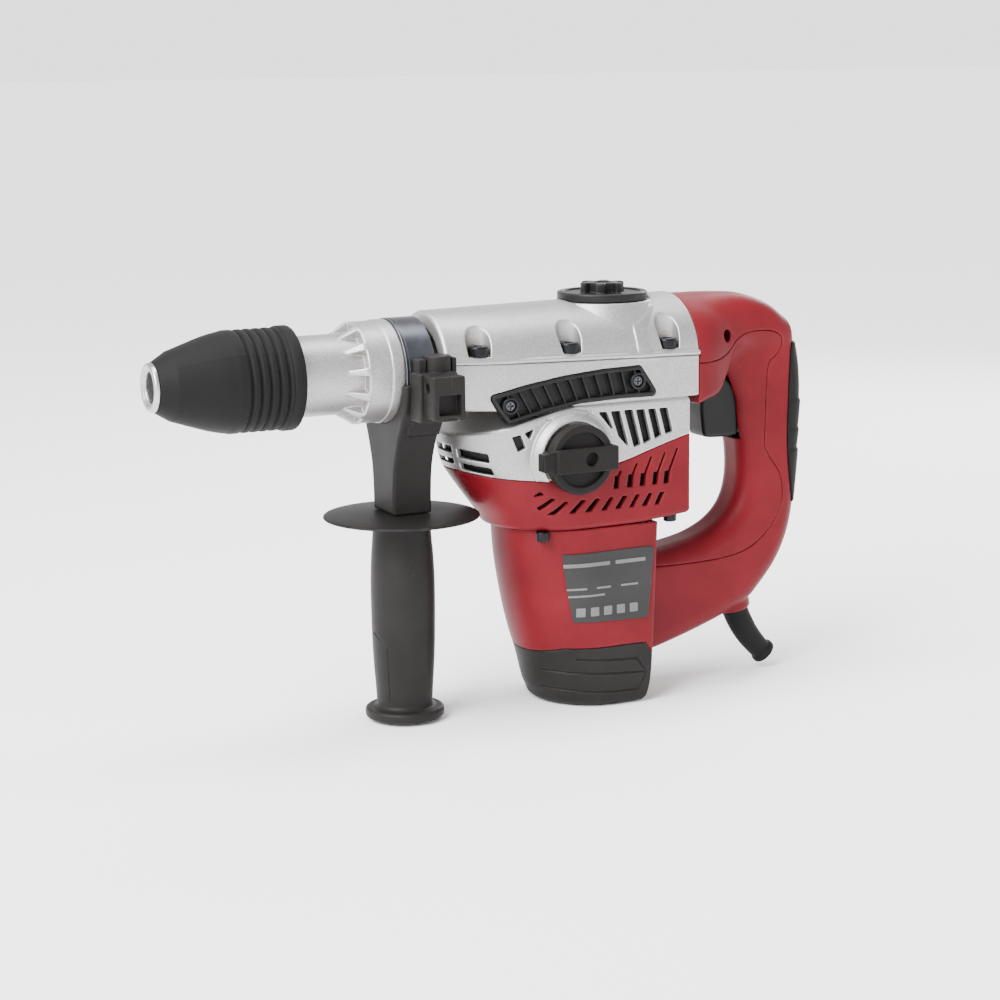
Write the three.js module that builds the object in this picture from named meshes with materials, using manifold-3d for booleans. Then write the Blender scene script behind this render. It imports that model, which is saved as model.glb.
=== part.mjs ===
// Rotary hammer for SDS-max bits, built as an assembly of separate pieces.
// Units are millimetres, +Z is up. The nose points to -X, the D-handle to +X, and the mode
// knob is on the -Y side. The origin is on the motor axis, at the flat end of the motor cap.

import * as THREE from 'three';
import { mergeVertices } from 'three/addons/utils/BufferGeometryUtils.js';
import Module from 'manifold-3d';

const wasm = await Module();
wasm.setup();

// ---------------------------------------------------------------- driving dimensions

const AXIS_Z = 228; // height of the tool axis, which runs along X
const GAP = 0.3; // clearance between pieces that touch
const FIT = 0.35; // radial clearance round a turning or sliding piece
const WALL = 3.6; // casing wall
const FAR = 400; // longer than the whole tool, for cutting shapes

const BODY = { half: 44.5, rear: 80, blockRear: 72.5, nose: -104, split: 231, floor: 121.5 };
// front edge of the lower casing, as height then X
const BODY_FRONT = [[121.5, -54], [128.7, -57], [140, -66], [163, -82], [181, -86], [215, -84]];
// line where the cast case meets the red sleeve, as X then height
const SLEEVE_LINE = [[-120, 165], [-82, 163], [-66, 159], [-34, 156], [20, 163.4], [58, 174.2],
  [100, 181]];

const MOTOR = { half: 44, top: 121.2, wall: 3 };
// front and rear edges of the motor housing, as height then X
const MOTOR_FRONT = [[0, -20], [14, -25.3], [31, -29.6], [49, -35.3], [70, -40.3], [97.5, -45],
  [121.5, -47]];
const MOTOR_REAR = [[0, 38], [6, 43.5], [31, 45.5], [121.5, 49.8]];
// line where the dark cap meets the red motor housing, as X then height
const CAP_LINE = [[-60, 31], [-37, 34.6], [-11.7, 41.4], [40.7, 40.4], [47, 30.8], [80, 30.8]];

const MODULE = 1.641; // gear module of the motor stage
const TEETH = { motor: 6, crank: 33, inter: 36, pinion: 12, crown: 48 };
const CRANK_X = MODULE * (TEETH.motor + TEETH.crank) / 2;
const INTER_X = -MODULE * (TEETH.motor + TEETH.inter) / 2;
const GEAR_Z = [170, 178];
const CROWN_R = 30; // pitch radius of the crown gear
const PINION_R = CROWN_R * TEETH.pinion / TEETH.crown;
const CROWN_X = INTER_X - PINION_R;

const CRANK_ARM = 12; // half of the piston's stroke
const ROD_LENGTH = 60;
const WRIST_X = CRANK_X - CRANK_ARM - ROD_LENGTH;
const BORE_R = 15.35; // bore of the cylinder
const CYLINDER_R = 19;
const BIT_R = 9.2; // bore that takes the 18 mm bit

const NOSE_X = -281.5;
const GRIP = { x: -115, top: 136.6, disc: 50.4 };
const COLLAR = { front: -124.7, rear: -103.7, r: 31.6 };
const KNOB = { x: -15, z: 170, r: 22.6, face: -60 };
const DEPTH_HOLE = { r: 3.3, y: -56, z: 223 }; // passage for a depth rod
const BEZEL = [24, 29]; // radii of the ring that stands round the knob
const OIL_CAP = { x: 32, r: 29.7, rim: 264.8, top: 270 };
const SCREW_X = [-76, -13, 59]; // screws that join the two halves of the case
const SCREW_Y = 37.5;
const TRIGGER = { pivotX: 112, pivotZ: 205, half: 11 };
// place where the cord leaves the handle; tilts are in degrees from the upright
const CORD = { exit: [135, 0, 47.5], boss: 12.5, bossTilt: 11, tilt: 35, bore: 9.2 };
const HANDLE = { half: 19, mouthHalf: 43.5, mouthEnd: 126, padHalf: 15.5, screw: [110, 240] };
const ARCH = { half: 44.5, spring: 224, rise: 42.5, foot: 202.5, front: -88 }; // arched top of the case
const BOLTS = [[-33, -38], [-33, 38], [62, -37.5], [62, 37.5]]; // under the sleeve, as X then Y
const FAN = { r: 33, blades: 12, from: 129, opening: 36.5 };
const RODS = { half: 4, big: 10, small: 8 }; // eyes of the connecting rod
const STATOR = { outer: 40, inner: 24, from: 60, to: 108 };

// ---------------------------------------------------------------- solids

const PRISM_TO_X = new THREE.Matrix4().makeBasis(
  new THREE.Vector3(0, 1, 0), new THREE.Vector3(0, 0, 1), new THREE.Vector3(1, 0, 0));
const LATHE_TO_X = new THREE.Matrix4().makeBasis(
  new THREE.Vector3(0, 0, 1), new THREE.Vector3(1, 0, 0), new THREE.Vector3(0, 1, 0));

// A closed solid from any three.js geometry: shared vertices, no flat triangles, facing out.
function solid(geometry) {
  const bare = new THREE.BufferGeometry();
  const source = geometry.index ? geometry : mergeVertices(geometry);
  bare.setAttribute('position', source.getAttribute('position'));
  bare.setIndex(source.index);
  const merged = mergeVertices(bare, 1e-3);
  const place = merged.getAttribute('position').array;
  const corners = [];
  let volume = 0;
  for (let i = 0; i < merged.index.count; i += 3) {
    const [a, b, c] = [0, 1, 2].map((k) => merged.index.getX(i + k));
    if (a === b || b === c || c === a) continue;
    corners.push(a, b, c);
    const [p, q, r] = [a, b, c].map((k) => new THREE.Vector3().fromArray(place, 3 * k));
    volume += p.dot(q.cross(r));
  }
  if (volume < 0) corners.reverse();
  return new wasm.Manifold(new wasm.Mesh({
    numProp: 3, vertProperties: Float32Array.from(place), triVerts: Uint32Array.from(corners),
  }));
}

function geometryOf(body) {
  const mesh = body.getMesh();
  const geometry = new THREE.BufferGeometry();
  geometry.setAttribute('position', new THREE.BufferAttribute(mesh.vertProperties, 3));
  geometry.setIndex(new THREE.BufferAttribute(mesh.triVerts, 1));
  geometry.computeVertexNormals();
  return geometry;
}

function joined(parts) {
  return parts.reduce((whole, part) => whole.add(part));
}

function cut(body, tools) {
  return tools.reduce((left, tool) => left.subtract(tool), body);
}

// Moves each vertex of a geometry to the place that the function gives for it.
function bent(geometry, place) {
  const at = geometry.getAttribute('position');
  for (let i = 0; i < at.count; i += 1) {
    at.setXYZ(i, ...place(at.getX(i), at.getY(i), at.getZ(i)));
  }
  return geometry;
}

function outline(points) {
  return new THREE.Shape(points.map(([x, y]) => new THREE.Vector2(x, y)));
}

// An outline pushed along one axis. Along X it lies in (Y, Z), along Y in (X, Z), along Z in (X, Y).
function prismGeometry(axis, points, from, to, steps = 1, bevel = 0) {
  const geometry = new THREE.ExtrudeGeometry(outline(points), {
    depth: to - from - 2 * bevel, steps, bevelEnabled: bevel > 0, bevelThickness: bevel,
    bevelSize: bevel, bevelOffset: -bevel, bevelSegments: 1, curveSegments: 8,
  });
  geometry.translate(0, 0, from + bevel);
  if (axis === 'x') geometry.applyMatrix4(PRISM_TO_X);
  if (axis === 'y') {
    geometry.rotateX(Math.PI / 2);
    geometry.translate(0, from + to, 0);
  }
  return geometry;
}

function prism(axis, points, from, to, bevel = 0) {
  return solid(prismGeometry(axis, points, from, to, 1, bevel));
}

// A profile of [radius, place] pairs turned round an axis through a centre.
function turned(axis, profile, centre = [0, 0], segments = 20) {
  const [u, v] = centre;
  const geometry = new THREE.LatheGeometry(profile.map(([r, h]) => new THREE.Vector2(r, h)), segments);
  if (axis === 'x') geometry.applyMatrix4(LATHE_TO_X).translate(0, u, v);
  if (axis === 'y') geometry.translate(u, 0, v);
  if (axis === 'z') geometry.rotateX(Math.PI / 2).translate(u, v, 0);
  return solid(geometry);
}

function rod(axis, r, from, to, centre, segments = 20) {
  return turned(axis, [[0, from], [r, from], [r, to], [0, to]], centre, segments);
}

function ring(axis, inner, outer, from, to, centre, segments = 20) {
  const profile = [[inner, from], [outer, from], [outer, to], [inner, to], [inner, from]];
  return turned(axis, profile, centre, segments);
}

const ON_AXIS = [0, AXIS_Z];
const alongTool = (profile, segments = 24) => turned('x', profile, ON_AXIS, segments);

function block(x0, x1, y0, y1, z0, z1) {
  const geometry = new THREE.BoxGeometry(x1 - x0, y1 - y0, z1 - z0);
  return solid(geometry.translate((x0 + x1) / 2, (y0 + y1) / 2, (z0 + z1) / 2));
}

// Straight-line reading of a table of [input, output] pairs.
function along(table, value) {
  const last = table.length - 1;
  if (value <= table[0][0]) return table[0][1];
  if (value >= table[last][0]) return table[last][1];
  const i = table.findIndex(([input]) => input > value);
  const [[a, p], [b, q]] = [table[i - 1], table[i]];
  return p + (q - p) * (value - a) / (b - a);
}

// Everything above, or below, a line of [X, Z] points, for the whole width of the tool.
function above(line) {
  const [first, last] = [line[0][0], line[line.length - 1][0]];
  return prism('y', [...line, [last, FAR], [first, FAR]], -FAR / 2, FAR / 2);
}

function below(line, drop) {
  const lowered = line.map(([x, z]) => [x, z - drop]);
  const [first, last] = [line[0][0], line[line.length - 1][0]];
  return prism('y', [...lowered, [last, -FAR], [first, -FAR]].reverse(), -FAR / 2, FAR / 2);
}

function arc(cx, cy, r, from, to, count) {
  const points = [];
  for (let i = 0; i <= count; i += 1) {
    const angle = THREE.MathUtils.degToRad(from + (to - from) * i / count);
    points.push([cx + r * Math.cos(angle), cy + r * Math.sin(angle)]);
  }
  return points;
}

function smooth(points, count) {
  const curve = new THREE.SplineCurve(points.map(([x, y]) => new THREE.Vector2(x, y)));
  return curve.getPoints(count).map((p) => [p.x, p.y]);
}

const mirrorY = (body) => body.mirror([0, 1, 0]);

// ---------------------------------------------------------------- case and sleeve

// Plan of the lower casing: half-round front, flat sides, square rear.
function roundFrontPlan(front, rear, half) {
  const bow = arc(front + half, 0, half, 90, 270, 10);
  return [[rear, half], ...bow, [rear, -half]];
}

function lowerBody(inset, from) {
  const half = BODY.half - inset;
  const front = BODY_FRONT[0][1] + inset;
  const rear = BODY.blockRear - inset;
  const plan = roundFrontPlan(front, rear, half);
  const geometry = prismGeometry('z', plan, from, BODY_FRONT[5][0], 5);
  return solid(bent(geometry, (x, y, z) => {
    const reach = rear - along(BODY_FRONT, z) - inset;
    return [rear - (rear - x) * reach / (rear - front), y, z];
  }));
}

// A round arch on upright sides, in (Y, Z).
function archOutline(half, rise, foot) {
  const top = arc(0, 0, 1, 0, 180, 12).map(([c, s]) => [half * c, ARCH.spring + rise * s]);
  return [[half, foot], ...top, [-half, foot]];
}

function upperBody(inset) {
  const section = archOutline(ARCH.half - inset, ARCH.rise - inset, ARCH.foot + inset);
  const geometry = prismGeometry('x', section, ARCH.front + inset, BODY.rear - inset, 2);
  const width = [[ARCH.front, 0.9], [-20, 0.98], [BODY.rear, 1]];
  const rise = [[ARCH.front, 0.94], [20, 0.985], [BODY.rear, 1]];
  const barrel = solid(bent(geometry, (x, y, z) => {
    return [x, y * along(width, x), ARCH.spring + (z - ARCH.spring) * along(rise, x)];
  }));
  const shoulder = [[0, BODY.nose + inset], [36 - inset, BODY.nose + inset], [36.6 - inset, -94],
    [37 - inset, -70], [0, -70]];
  return barrel.add(alongTool(shoulder));
}

function caseShell() {
  const outer = upperBody(0).add(lowerBody(0, BODY.floor));
  const inner = upperBody(WALL).add(lowerBody(WALL, BODY.floor + WALL));
  const columns = [];
  for (const x of SCREW_X) {
    for (const side of [-1, 1]) {
      columns.push(rod('z', 8.5, 203, 262, [x, side * SCREW_Y], 10));
    }
  }
  const boss = rod('z', 31, 250, OIL_CAP.rim - GAP, [OIL_CAP.x, 0], 24);
  const shell = outer.subtract(inner).add(joined(columns).intersect(outer)).add(boss.subtract(inner));
  const bores = [];
  for (const x of SCREW_X) {
    for (const side of [-1, 1]) {
      bores.push(rod('z', 5.9, BODY.split + 3, FAR, [x, side * SCREW_Y], 12));
      bores.push(rod('z', 2.4, 206, BODY.split + 4, [x, side * SCREW_Y], 8));
    }
  }
  const capSeat = rod('z', OIL_CAP.r + 0.5, OIL_CAP.rim - GAP, FAR, [OIL_CAP.x, 0], 24);
  return cut(shell, [...bores, capSeat, rod('z', 25.4, 240, FAR, [OIL_CAP.x, 0], 24),
    rod('x', CYLINDER_R + 6, -120, -90, ON_AXIS, 32)]);
}

const GRILLE = [[-71.4, 212.5], [-66.2, 203.7], [-58.9, 194], [-6.8, 204.7], [47.4, 205],
  [49.5, 205.5], [36, 225.1], [-19.2, 222.2]];

// Slanted vents to the right of the mode knob, longer towards the front.
function caseVents() {
  const vents = [];
  for (let i = 0; i < 5; i += 1) {
    const x = 13.3 + 9 * i;
    const foot = 173.5 + 1.6 * i;
    vents.push(prism('y', [[x, 197], [x + 6, foot], [x + 11.8, foot + 1.4], [x + 6.2, 197]], -60, 60));
  }
  return vents;
}

function gearCases() {
  const shell = caseShell();
  const window = prism('y', GRILLE, -60, 60);
  const knobHole = rod('y', 7, -60, -30, [KNOB.x, KNOB.z], 20);
  const lowerTop = [[-200, BODY.split - GAP], [200, BODY.split - GAP]];
  const centre = [KNOB.x, KNOB.z];
  const bezel = ring('y', BEZEL[0], BEZEL[1], KNOB.face + 9.5, -BODY.half - GAP, centre, 32);
  const bezelFoot = ring('y', BEZEL[0], BEZEL[1], -BODY.half - 1, 1 - BODY.half, centre, 32);
  const casting = shell.intersect(below(lowerTop, 0)).add(bezelFoot).intersect(above(SLEEVE_LINE));
  const lower = cut(cut(casting, [window, ...caseVents()]).add(bezel), [knobHole]);
  const upper = shell.intersect(above([[-200, BODY.split], [200, BODY.split]]));
  return { lower, upper };
}

function midSleeve() {
  const outer = lowerBody(0, BODY.floor);
  const inner = lowerBody(WALL, BODY.floor + WALL);
  const rearStep = block(54, 90, -60, 60, 100, 125.7);
  const rearFloor = block(50, 90, -60, 60, 125, 129.4).intersect(outer);
  const bosses = BOLTS.map((place) => rod('z', 5.6, BODY.floor, 140, place, 12));
  const shell = joined([outer.subtract(inner), rearFloor, ...bosses]);
  const fanHole = rod('z', FAN.opening, 110, 130, [0, 0], 32);
  const slots = [];
  for (let i = 0; i < 8; i += 1) {
    const x = -24.3 + 10 * i;
    slots.push(prism('y', [[x, 133], [x + 4.4, 133], [x + 9, 141], [x + 5.5, 141]], -60, 60));
  }
  for (let i = 0; i < 5; i += 1) {
    const x = 15.3 + 9.3 * i;
    slots.push(prism('y', [[x, 146.5], [x + 3.7, 146.5], [x + 4.2, 155], [x + 1.4, 155]], -60, 60));
  }
  const bolts = BOLTS.map((place) => rod('z', 2.9, 110, 140, place, 12));
  return cut(shell.intersect(below(SLEEVE_LINE, GAP)), [rearStep, fanHole, ...slots, ...bolts]);
}

function ventGrille() {
  const [midX, midZ] = [-12, 210];
  const play = 2 * GAP;
  const plate = GRILLE.map(([x, z]) => [x + Math.sign(midX - x) * play, z + Math.sign(midZ - z) * play]);
  const body = prism('y', plate, -47.4, -42.5);
  const slots = [];
  for (let i = 0; i < 9; i += 1) {
    const x = -45 + 8.3 * i;
    const foot = 206 + 0.05 * x;
    const slot = [[x, foot], [x + 5, foot + 0.6], [x + 2, foot + 11], [x - 3, foot + 10.4]];
    slots.push(prism('y', slot, -60, 60));
  }
  return cut(body, slots);
}

// ---------------------------------------------------------------- motor

function motorBody(inset, from, to) {
  const half = MOTOR.half - inset;
  const front = along(MOTOR_FRONT, MOTOR.top) + inset;
  const rear = along(MOTOR_REAR, MOTOR.top) - inset;
  const plan = roundFrontPlan(front, rear, half);
  const geometry = prismGeometry('z', plan, from, to, 5);
  return solid(bent(geometry, (x, y, z) => {
    const end = along(MOTOR_REAR, z) - inset;
    const reach = end - along(MOTOR_FRONT, z) - inset;
    const squeeze = along([[0, 36 / 44], [4, 40.5 / 44], [12, 43 / 44], [31, 1]], z);
    return [end - (rear - x) * reach / (rear - front), y * squeeze, z];
  }));
}

function motorHousing() {
  const shell = motorBody(0, 20, MOTOR.top).subtract(motorBody(MOTOR.wall, 19, MOTOR.top + 1));
  return shell.intersect(above(CAP_LINE));
}

function motorCap() {
  const shell = motorBody(0, 0, 50).subtract(motorBody(MOTOR.wall, MOTOR.wall, 60));
  const seat = ring('z', 8.3, 12, 2, 14, [0, 0]);
  return shell.intersect(below(CAP_LINE, GAP)).add(seat);
}

function ratingPlate() {
  const plate = [[-24.6, 104.5], [-17.6, 60.2], [40.8, 58.7], [45.3, 104.9]];
  return prism('y', plate, -MOTOR.half - 1.1, -MOTOR.half - GAP);
}

function stator() {
  const stack = ring('z', STATOR.inner, STATOR.outer, STATOR.from, STATOR.to, [0, 0], 32);
  return stack.intersect(motorBody(MOTOR.wall + GAP, STATOR.from - 10, MOTOR.top));
}

function armatureShaft() {
  const steps = [[0, 5], [4, 5], [4, 14], [6, 14], [6, 165], [3.4, 165], [3.4, 181], [0, 181]];
  const pinion = gear(TEETH.motor, MODULE, 1.3, 1.1, 168, 180, [0, 0], 0, 0);
  return turned('z', steps, [0, 0], 16).add(pinion);
}

// A spur gear outline with straight flanks, thinned for backlash.
function gearOutline(teeth, module, rise, depth, phase) {
  const pitch = teeth * module / 2;
  const half = Math.PI * module / 4 - 0.2;
  const points = [];
  for (let i = 0; i < teeth; i += 1) {
    const middle = phase + 2 * Math.PI * i / teeth;
    const corners = [[pitch - depth, -half - 0.38 * depth], [pitch + rise, -half + 0.46 * rise],
      [pitch + rise, half - 0.46 * rise], [pitch - depth, half + 0.38 * depth]];
    for (const [r, side] of corners) {
      const angle = middle + Math.asin(side / r);
      points.push([r * Math.cos(angle), r * Math.sin(angle)]);
    }
  }
  return points;
}

function gear(teeth, module, rise, depth, from, to, centre, phase, bore) {
  const points = gearOutline(teeth, module, rise, depth, phase);
  const body = prism('z', points, from, to).translate([...centre, 0]);
  return bore > 0 ? body.subtract(rod('z', bore, from - 1, to + 1, centre, 16)) : body;
}

function coolingFan() {
  const blades = [];
  for (let i = 0; i < FAN.blades; i += 1) {
    const blade = new THREE.BoxGeometry(20, 1.6, 10).translate(22, 0, FAN.from + 7);
    blades.push(solid(blade.rotateZ(2 * Math.PI * i / FAN.blades)));
  }
  const disc = turned('z', [[6.3, FAN.from], [FAN.r, FAN.from], [FAN.r, FAN.from + 2.5],
    [14, FAN.from + 2.5], [12, FAN.from + 13], [6.3, FAN.from + 13], [6.3, FAN.from]]);
  return disc.add(joined(blades));
}

// ---------------------------------------------------------------- gears and hammer

function crankshaft() {
  const shaft = turned('z', [[0, 157], [5, 157], [5, 180], [8, 180], [8, 203], [19, 203],
    [19, 212], [0, 212]], [CRANK_X, 0]);
  return shaft.add(rod('z', 5, 211, 223.7, [CRANK_X - CRANK_ARM, 0], 16));
}

// Shaft with the large gear below and the crown pinion on top, in one piece.
function intermediateShaft() {
  const centre = [INTER_X, 0];
  const shaft = turned('z', [[0, 157], [5, 157], [5, 193], [0, 193]], centre, 16);
  const wheel = gear(TEETH.inter, MODULE, 0.8, 1.6, ...GEAR_Z, centre, Math.PI / TEETH.inter, 0);
  const pinion = gear(TEETH.pinion, 2 * PINION_R / TEETH.pinion, 1, 1.2, 192.5, 201, centre, 0, 0);
  return joined([shaft, wheel, pinion]);
}

function crownGear() {
  const back = CROWN_X - 1.34;
  const body = ring('x', CYLINDER_R + GAP, 32, back - 6.5, back, ON_AXIS, 32);
  const tooth = [[-0.85, back - 1], [0.85, back - 1], [0.5, back + 2.1], [-0.5, back + 2.1]];
  const teeth = [];
  for (let i = 0; i < TEETH.crown; i += 1) {
    const shape = prismGeometry('z', tooth.map(([side, x]) => [x, side]), 28.6, 31.5);
    const angle = Math.PI * (2 * i + 1) / TEETH.crown;
    teeth.push(solid(shape.rotateX(angle).translate(0, 0, AXIS_Z)));
  }
  return body.add(joined(teeth));
}

// Plates that carry the bearings of the upright shafts, narrower at the front.
function bearingPlate(from, to, half, x0, x1, holes) {
  const front = block(x0, x0 + 20, 8 - half, half - 8, from, to);
  const plate = block(x0 + 16, x1, -half, half, from, to).add(front);
  return cut(plate, holes.map(([x, r]) => rod('z', r, from - 1, to + 1, [x, 0], 24)));
}

function piston() {
  const body = turned('x', [[0, WRIST_X - 16], [BORE_R - FIT, WRIST_X - 16], [BORE_R - FIT, WRIST_X + 10],
    [0, WRIST_X + 10]], ON_AXIS, 24);
  const slot = block(WRIST_X - 9, WRIST_X + 20, -20, 20, AXIS_Z - 4.4, AXIS_Z + 4.4);
  const pinHole = rod('z', 4.3, AXIS_Z - 30, AXIS_Z + 30, [WRIST_X, 0], 16);
  return cut(body, [slot, pinHole]);
}

function connectingRod() {
  const [low, high] = [AXIS_Z - RODS.half, AXIS_Z + RODS.half];
  const big = rod('z', RODS.big, low, high, [WRIST_X + ROD_LENGTH, 0]);
  const small = rod('z', RODS.small, low, high, [WRIST_X, 0]);
  const bar = block(WRIST_X, WRIST_X + ROD_LENGTH, -4, 4, low + 1, high - 1);
  const crankEye = rod('z', 5.4, low - 5, high + 5, [WRIST_X + ROD_LENGTH, 0]);
  const wristEye = rod('z', 4.35, low - 5, high + 5, [WRIST_X, 0], 16);
  return cut(joined([big, small, bar]), [crankEye, wristEye]);
}

function striker() {
  return alongTool([[0, -118], [8.5, -118], [8.5, -100], [BORE_R - FIT, -98], [BORE_R - FIT, -74],
    [0, -74]]);
}

function impactBolt() {
  return alongTool([[0, -200], [BIT_R - 0.5, -200], [BIT_R - 0.5, -184], [11, -181], [11, -160],
    [8, -158], [8, -141.5], [0, -141.5]]);
}

function cylinder() {
  return ring('x', BORE_R, CYLINDER_R, -150, -5, ON_AXIS, 32);
}

function toolHolder() {
  return alongTool([[BIT_R, -277.9], [13.5, -277.9], [13.5, -204], [CYLINDER_R, -202],
    [CYLINDER_R, -150 - GAP], [11.5, -150 - GAP], [11.5, -189.5], [BIT_R, -192],
    [BIT_R, -277.9]], 32);
}

function noseRing() {
  return alongTool([[BIT_R + 0.6, -278.2], [15.3, -278.2], [15.3, -280.5], [14.3, NOSE_X],
    [11, NOSE_X], [BIT_R + 0.6, -280.2], [BIT_R + 0.6, -278.2]], 32);
}

function chuckBoot() {
  return alongTool([[14.2, -277.9], [15.6, -277.9], [21.2, -268.5], [27.8, -246], [31.2, -230],
    [31.7, -198], [32.5, -196.5], [32.5, -190], [29.4, -190], [28.4, -226], [24.5, -246],
    [16.8, -268], [14.2, -271], [14.2, -277.9]]);
}

function releaseSleeve() {
  return alongTool([[14, -262], [16.5, -262], [24, -240], [27.8, -224], [27.8, -206], [25, -206],
    [25, -222], [14, -246], [14, -262]]);
}

// ---------------------------------------------------------------- front housing and side handle

function frontHousing() {
  return alongTool([[22.4, -189.7], [25.4, -189.7], [25.4, -156], [32, -148], [32, -133],
    [32.7, -132.5], [32.7, -125], [COLLAR.r, -125], [COLLAR.r, BODY.nose - GAP],
    [28, BODY.nose - GAP], [28, -140], [22.4, -150], [22.4, -189.7]]);
}

// Steel strap over the collar, its two ends going down into the bracket.
function clampBand() {
  const [inner, outer] = [COLLAR.r + GAP, COLLAR.r + 1.6];
  const legs = (r, foot) => [[r, foot], ...arc(0, AXIS_Z, r, 0, 180, 18), [-r, foot]];
  const strap = prism('x', legs(outer, 204), COLLAR.front + 0.4, COLLAR.rear - 0.6);
  return strap.subtract(prism('x', legs(inner, 190), -140, -90));
}

function handleBracket() {
  const side = [[17, GRIP.top + GAP], [17.5, 165], [24, 185], [34, 200], [38, 210], [38, 222]];
  const front = [...side, ...side.map(([y, z]) => [-y, z]).reverse()];
  const body = prism('x', front, -127.5, -101);
  const slot = block(-125, -103.4, 31.5, 33.6, 200, 240);
  const saddle = rod('x', COLLAR.r + GAP, -140, -90, ON_AXIS, 36);
  const flangeSeat = rod('x', 33, -140, -124.6, ON_AXIS, 36);
  const shoulderSeat = rod('x', 38.2, BODY.nose - GAP, -90, ON_AXIS, 36);
  const boltHole = rod('z', 4.4, 120, 200, [GRIP.x, 0], 16);
  return cut(body, [slot, mirrorY(slot), saddle, flangeSeat, shoulderSeat, boltHole]);
}

function depthStopBlock() {
  const plan = [[-121, -38.3], [-121, -63.5], [-119.5, -65], [-100.5, -65], [-99, -63.5], [-99, -38.3]];
  const body = prism('z', plan, 203.5, 230.5);
  const web = block(-118, -100, -48, -38.3, 230, 240);
  const recess = block(-117, -102, -68, -57, 206.5, 219);
  const hole = rod('x', DEPTH_HOLE.r, -140, -80, [DEPTH_HOLE.y, DEPTH_HOLE.z], 16);
  return cut(body.add(web), [recess, hole]);
}

function sideGrip() {
  return turned('z', [[0, 1.5], [24, 1.5], [25.6, 3.5], [25.6, 7], [19.5, 11], [18.6, 16],
    [20.6, 62], [20.6, 90], [18.8, 124], [18.6, 132], [48, 133.6], [GRIP.disc, 135],
    [GRIP.disc, 136], [44, GRIP.top], [4.6, GRIP.top], [4.6, 64], [0, 62]], [GRIP.x, 0], 24);
}

function gripBolt() {
  return turned('z', [[0, 66], [4, 66], [4, 190], [0, 190]], [GRIP.x, 0], 12);
}

// ---------------------------------------------------------------- rear handle

// Side outline of the D-handle: the outer edge, and the edge round the hand opening.
function handleOuter(inset) {
  const edge = smooth([[80.4, 266], [107, 264.5], [134, 262], [153, 256], [165, 248], [172, 237],
    [176.5, 222], [179, 205], [179.5, 180], [178, 150], [175, 118], [169, 95], [160, 76],
    [146, 58.5], [112, 41], [73, 29], [51.2, 27.5]], 22);
  return inset === 0 ? edge : inwards(edge, inset);
}

function handleInner(inset) {
  const edge = smooth([[50.6, 94.5], [68, 96.2], [84, 98.5], [101, 103], [118, 111], [129, 123],
    [132.5, 140], [131, 158], [127, 172], [126, 190], [118, 202], [100, 206], [80.4, 206]], 16);
  return inset === 0 ? edge : inwards(edge, inset);
}

// Moves a line of points sideways, to its right-hand side as it runs.
function inwards(line, distance) {
  return line.map(([x, z], i) => {
    const [ax, az] = line[Math.max(i - 1, 0)];
    const [bx, bz] = line[Math.min(i + 1, line.length - 1)];
    const length = Math.hypot(bx - ax, bz - az);
    return [x + distance * (bz - az) / length, z - distance * (bx - ax) / length];
  });
}

function handleBar(inset) {
  const half = HANDLE.half - inset;
  return prism('y', [...handleOuter(inset), ...handleInner(inset)], -half, half, inset === 0 ? 4.5 : 3);
}

// The wide mouth that meets the back of the case and narrows to the grip.
function handleMouth(inset) {
  const section = archOutline(HANDLE.mouthHalf - inset, ARCH.rise - 0.5 - inset, ARCH.foot + 0.5 + inset);
  const from = inset > 0 ? BODY.rear - 5 : BODY.rear + 0.4;
  const geometry = prismGeometry('x', section, from, HANDLE.mouthEnd, 3);
  const widths = [[BODY.rear, 1], [96, 0.9], [112, 0.62], [HANDLE.mouthEnd, 0.38]];
  const rises = [[BODY.rear, 0], [98, 0], [112, 17], [HANDLE.mouthEnd, 36]];
  return solid(bent(geometry, (x, y, z) => {
    return [x, y * along(widths, x), z + along(rises, x) * (266 - z) / 63];
  }));
}

const HANDLE_SEAM = [[60, 85], [96, 84.6], [128, 88], [148, 98], [161, 117], [161, 138], [147.5, 159],
  [149, 177], [150.5, 217], [158, 223], [160, 231.5], [142, 239], [122, 236.5], [110, 228],
  [94, 224.2], [70, 222.5]];

function handleShell() {
  const outer = handleBar(0).add(handleMouth(0));
  const hollow = handleBar(WALL).add(handleMouth(WALL));
  const padSeat = padShape(FIT);
  const slot = block(95, 150, -TRIGGER.half - 0.5, TRIGGER.half + 0.5, 164, 211);
  const screwHole = rod('y', 3.6, -60, 60, HANDLE.screw, 16);
  const cordHole = tilted([[0, -60], [CORD.bore, -60], [CORD.bore, 60], [0, 60]], CORD.tilt);
  return cut(outer.add(cordBoss()).subtract(hollow), [padSeat, slot, screwHole, cordHole]);
}

function handleHalves() {
  const shell = handleShell();
  const front = prism('y', [...HANDLE_SEAM, [50, 222.5], [50, 85]], -FAR / 2, FAR / 2);
  const seamFront = inwards(HANDLE_SEAM, GAP);
  const wide = prism('y', [...seamFront, [50, 222.8], [50, 84.7]], -FAR / 2, FAR / 2);
  return { cover: shell.intersect(front), housing: shell.subtract(wide) };
}

// Rubber pad let into the back of the grip.
function padShape(gap) {
  const rear = smooth([[177, 118], [180.5, 135], [182, 160], [182.2, 190], [180, 212], [177, 226]], 7);
  const front = [[172.5, 229], [170, 206], [169.5, 150], [169, 121]];
  const half = HANDLE.padHalf + gap;
  return prism('y', [...rear, ...front], -half, half, 1.5);
}

// A turned piece on the line of the cord, leaning back from the upright by the given angle.
function tilted(profile, tilt) {
  return turned('z', profile).rotate([0, -tilt, 0]).translate(CORD.exit);
}

function cordBoss() {
  return tilted([[0, 14], [CORD.boss, 14], [CORD.boss, -3.5], [0, -3.5]], CORD.bossTilt)
    .subtract(handleBar(WALL));
}

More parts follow.
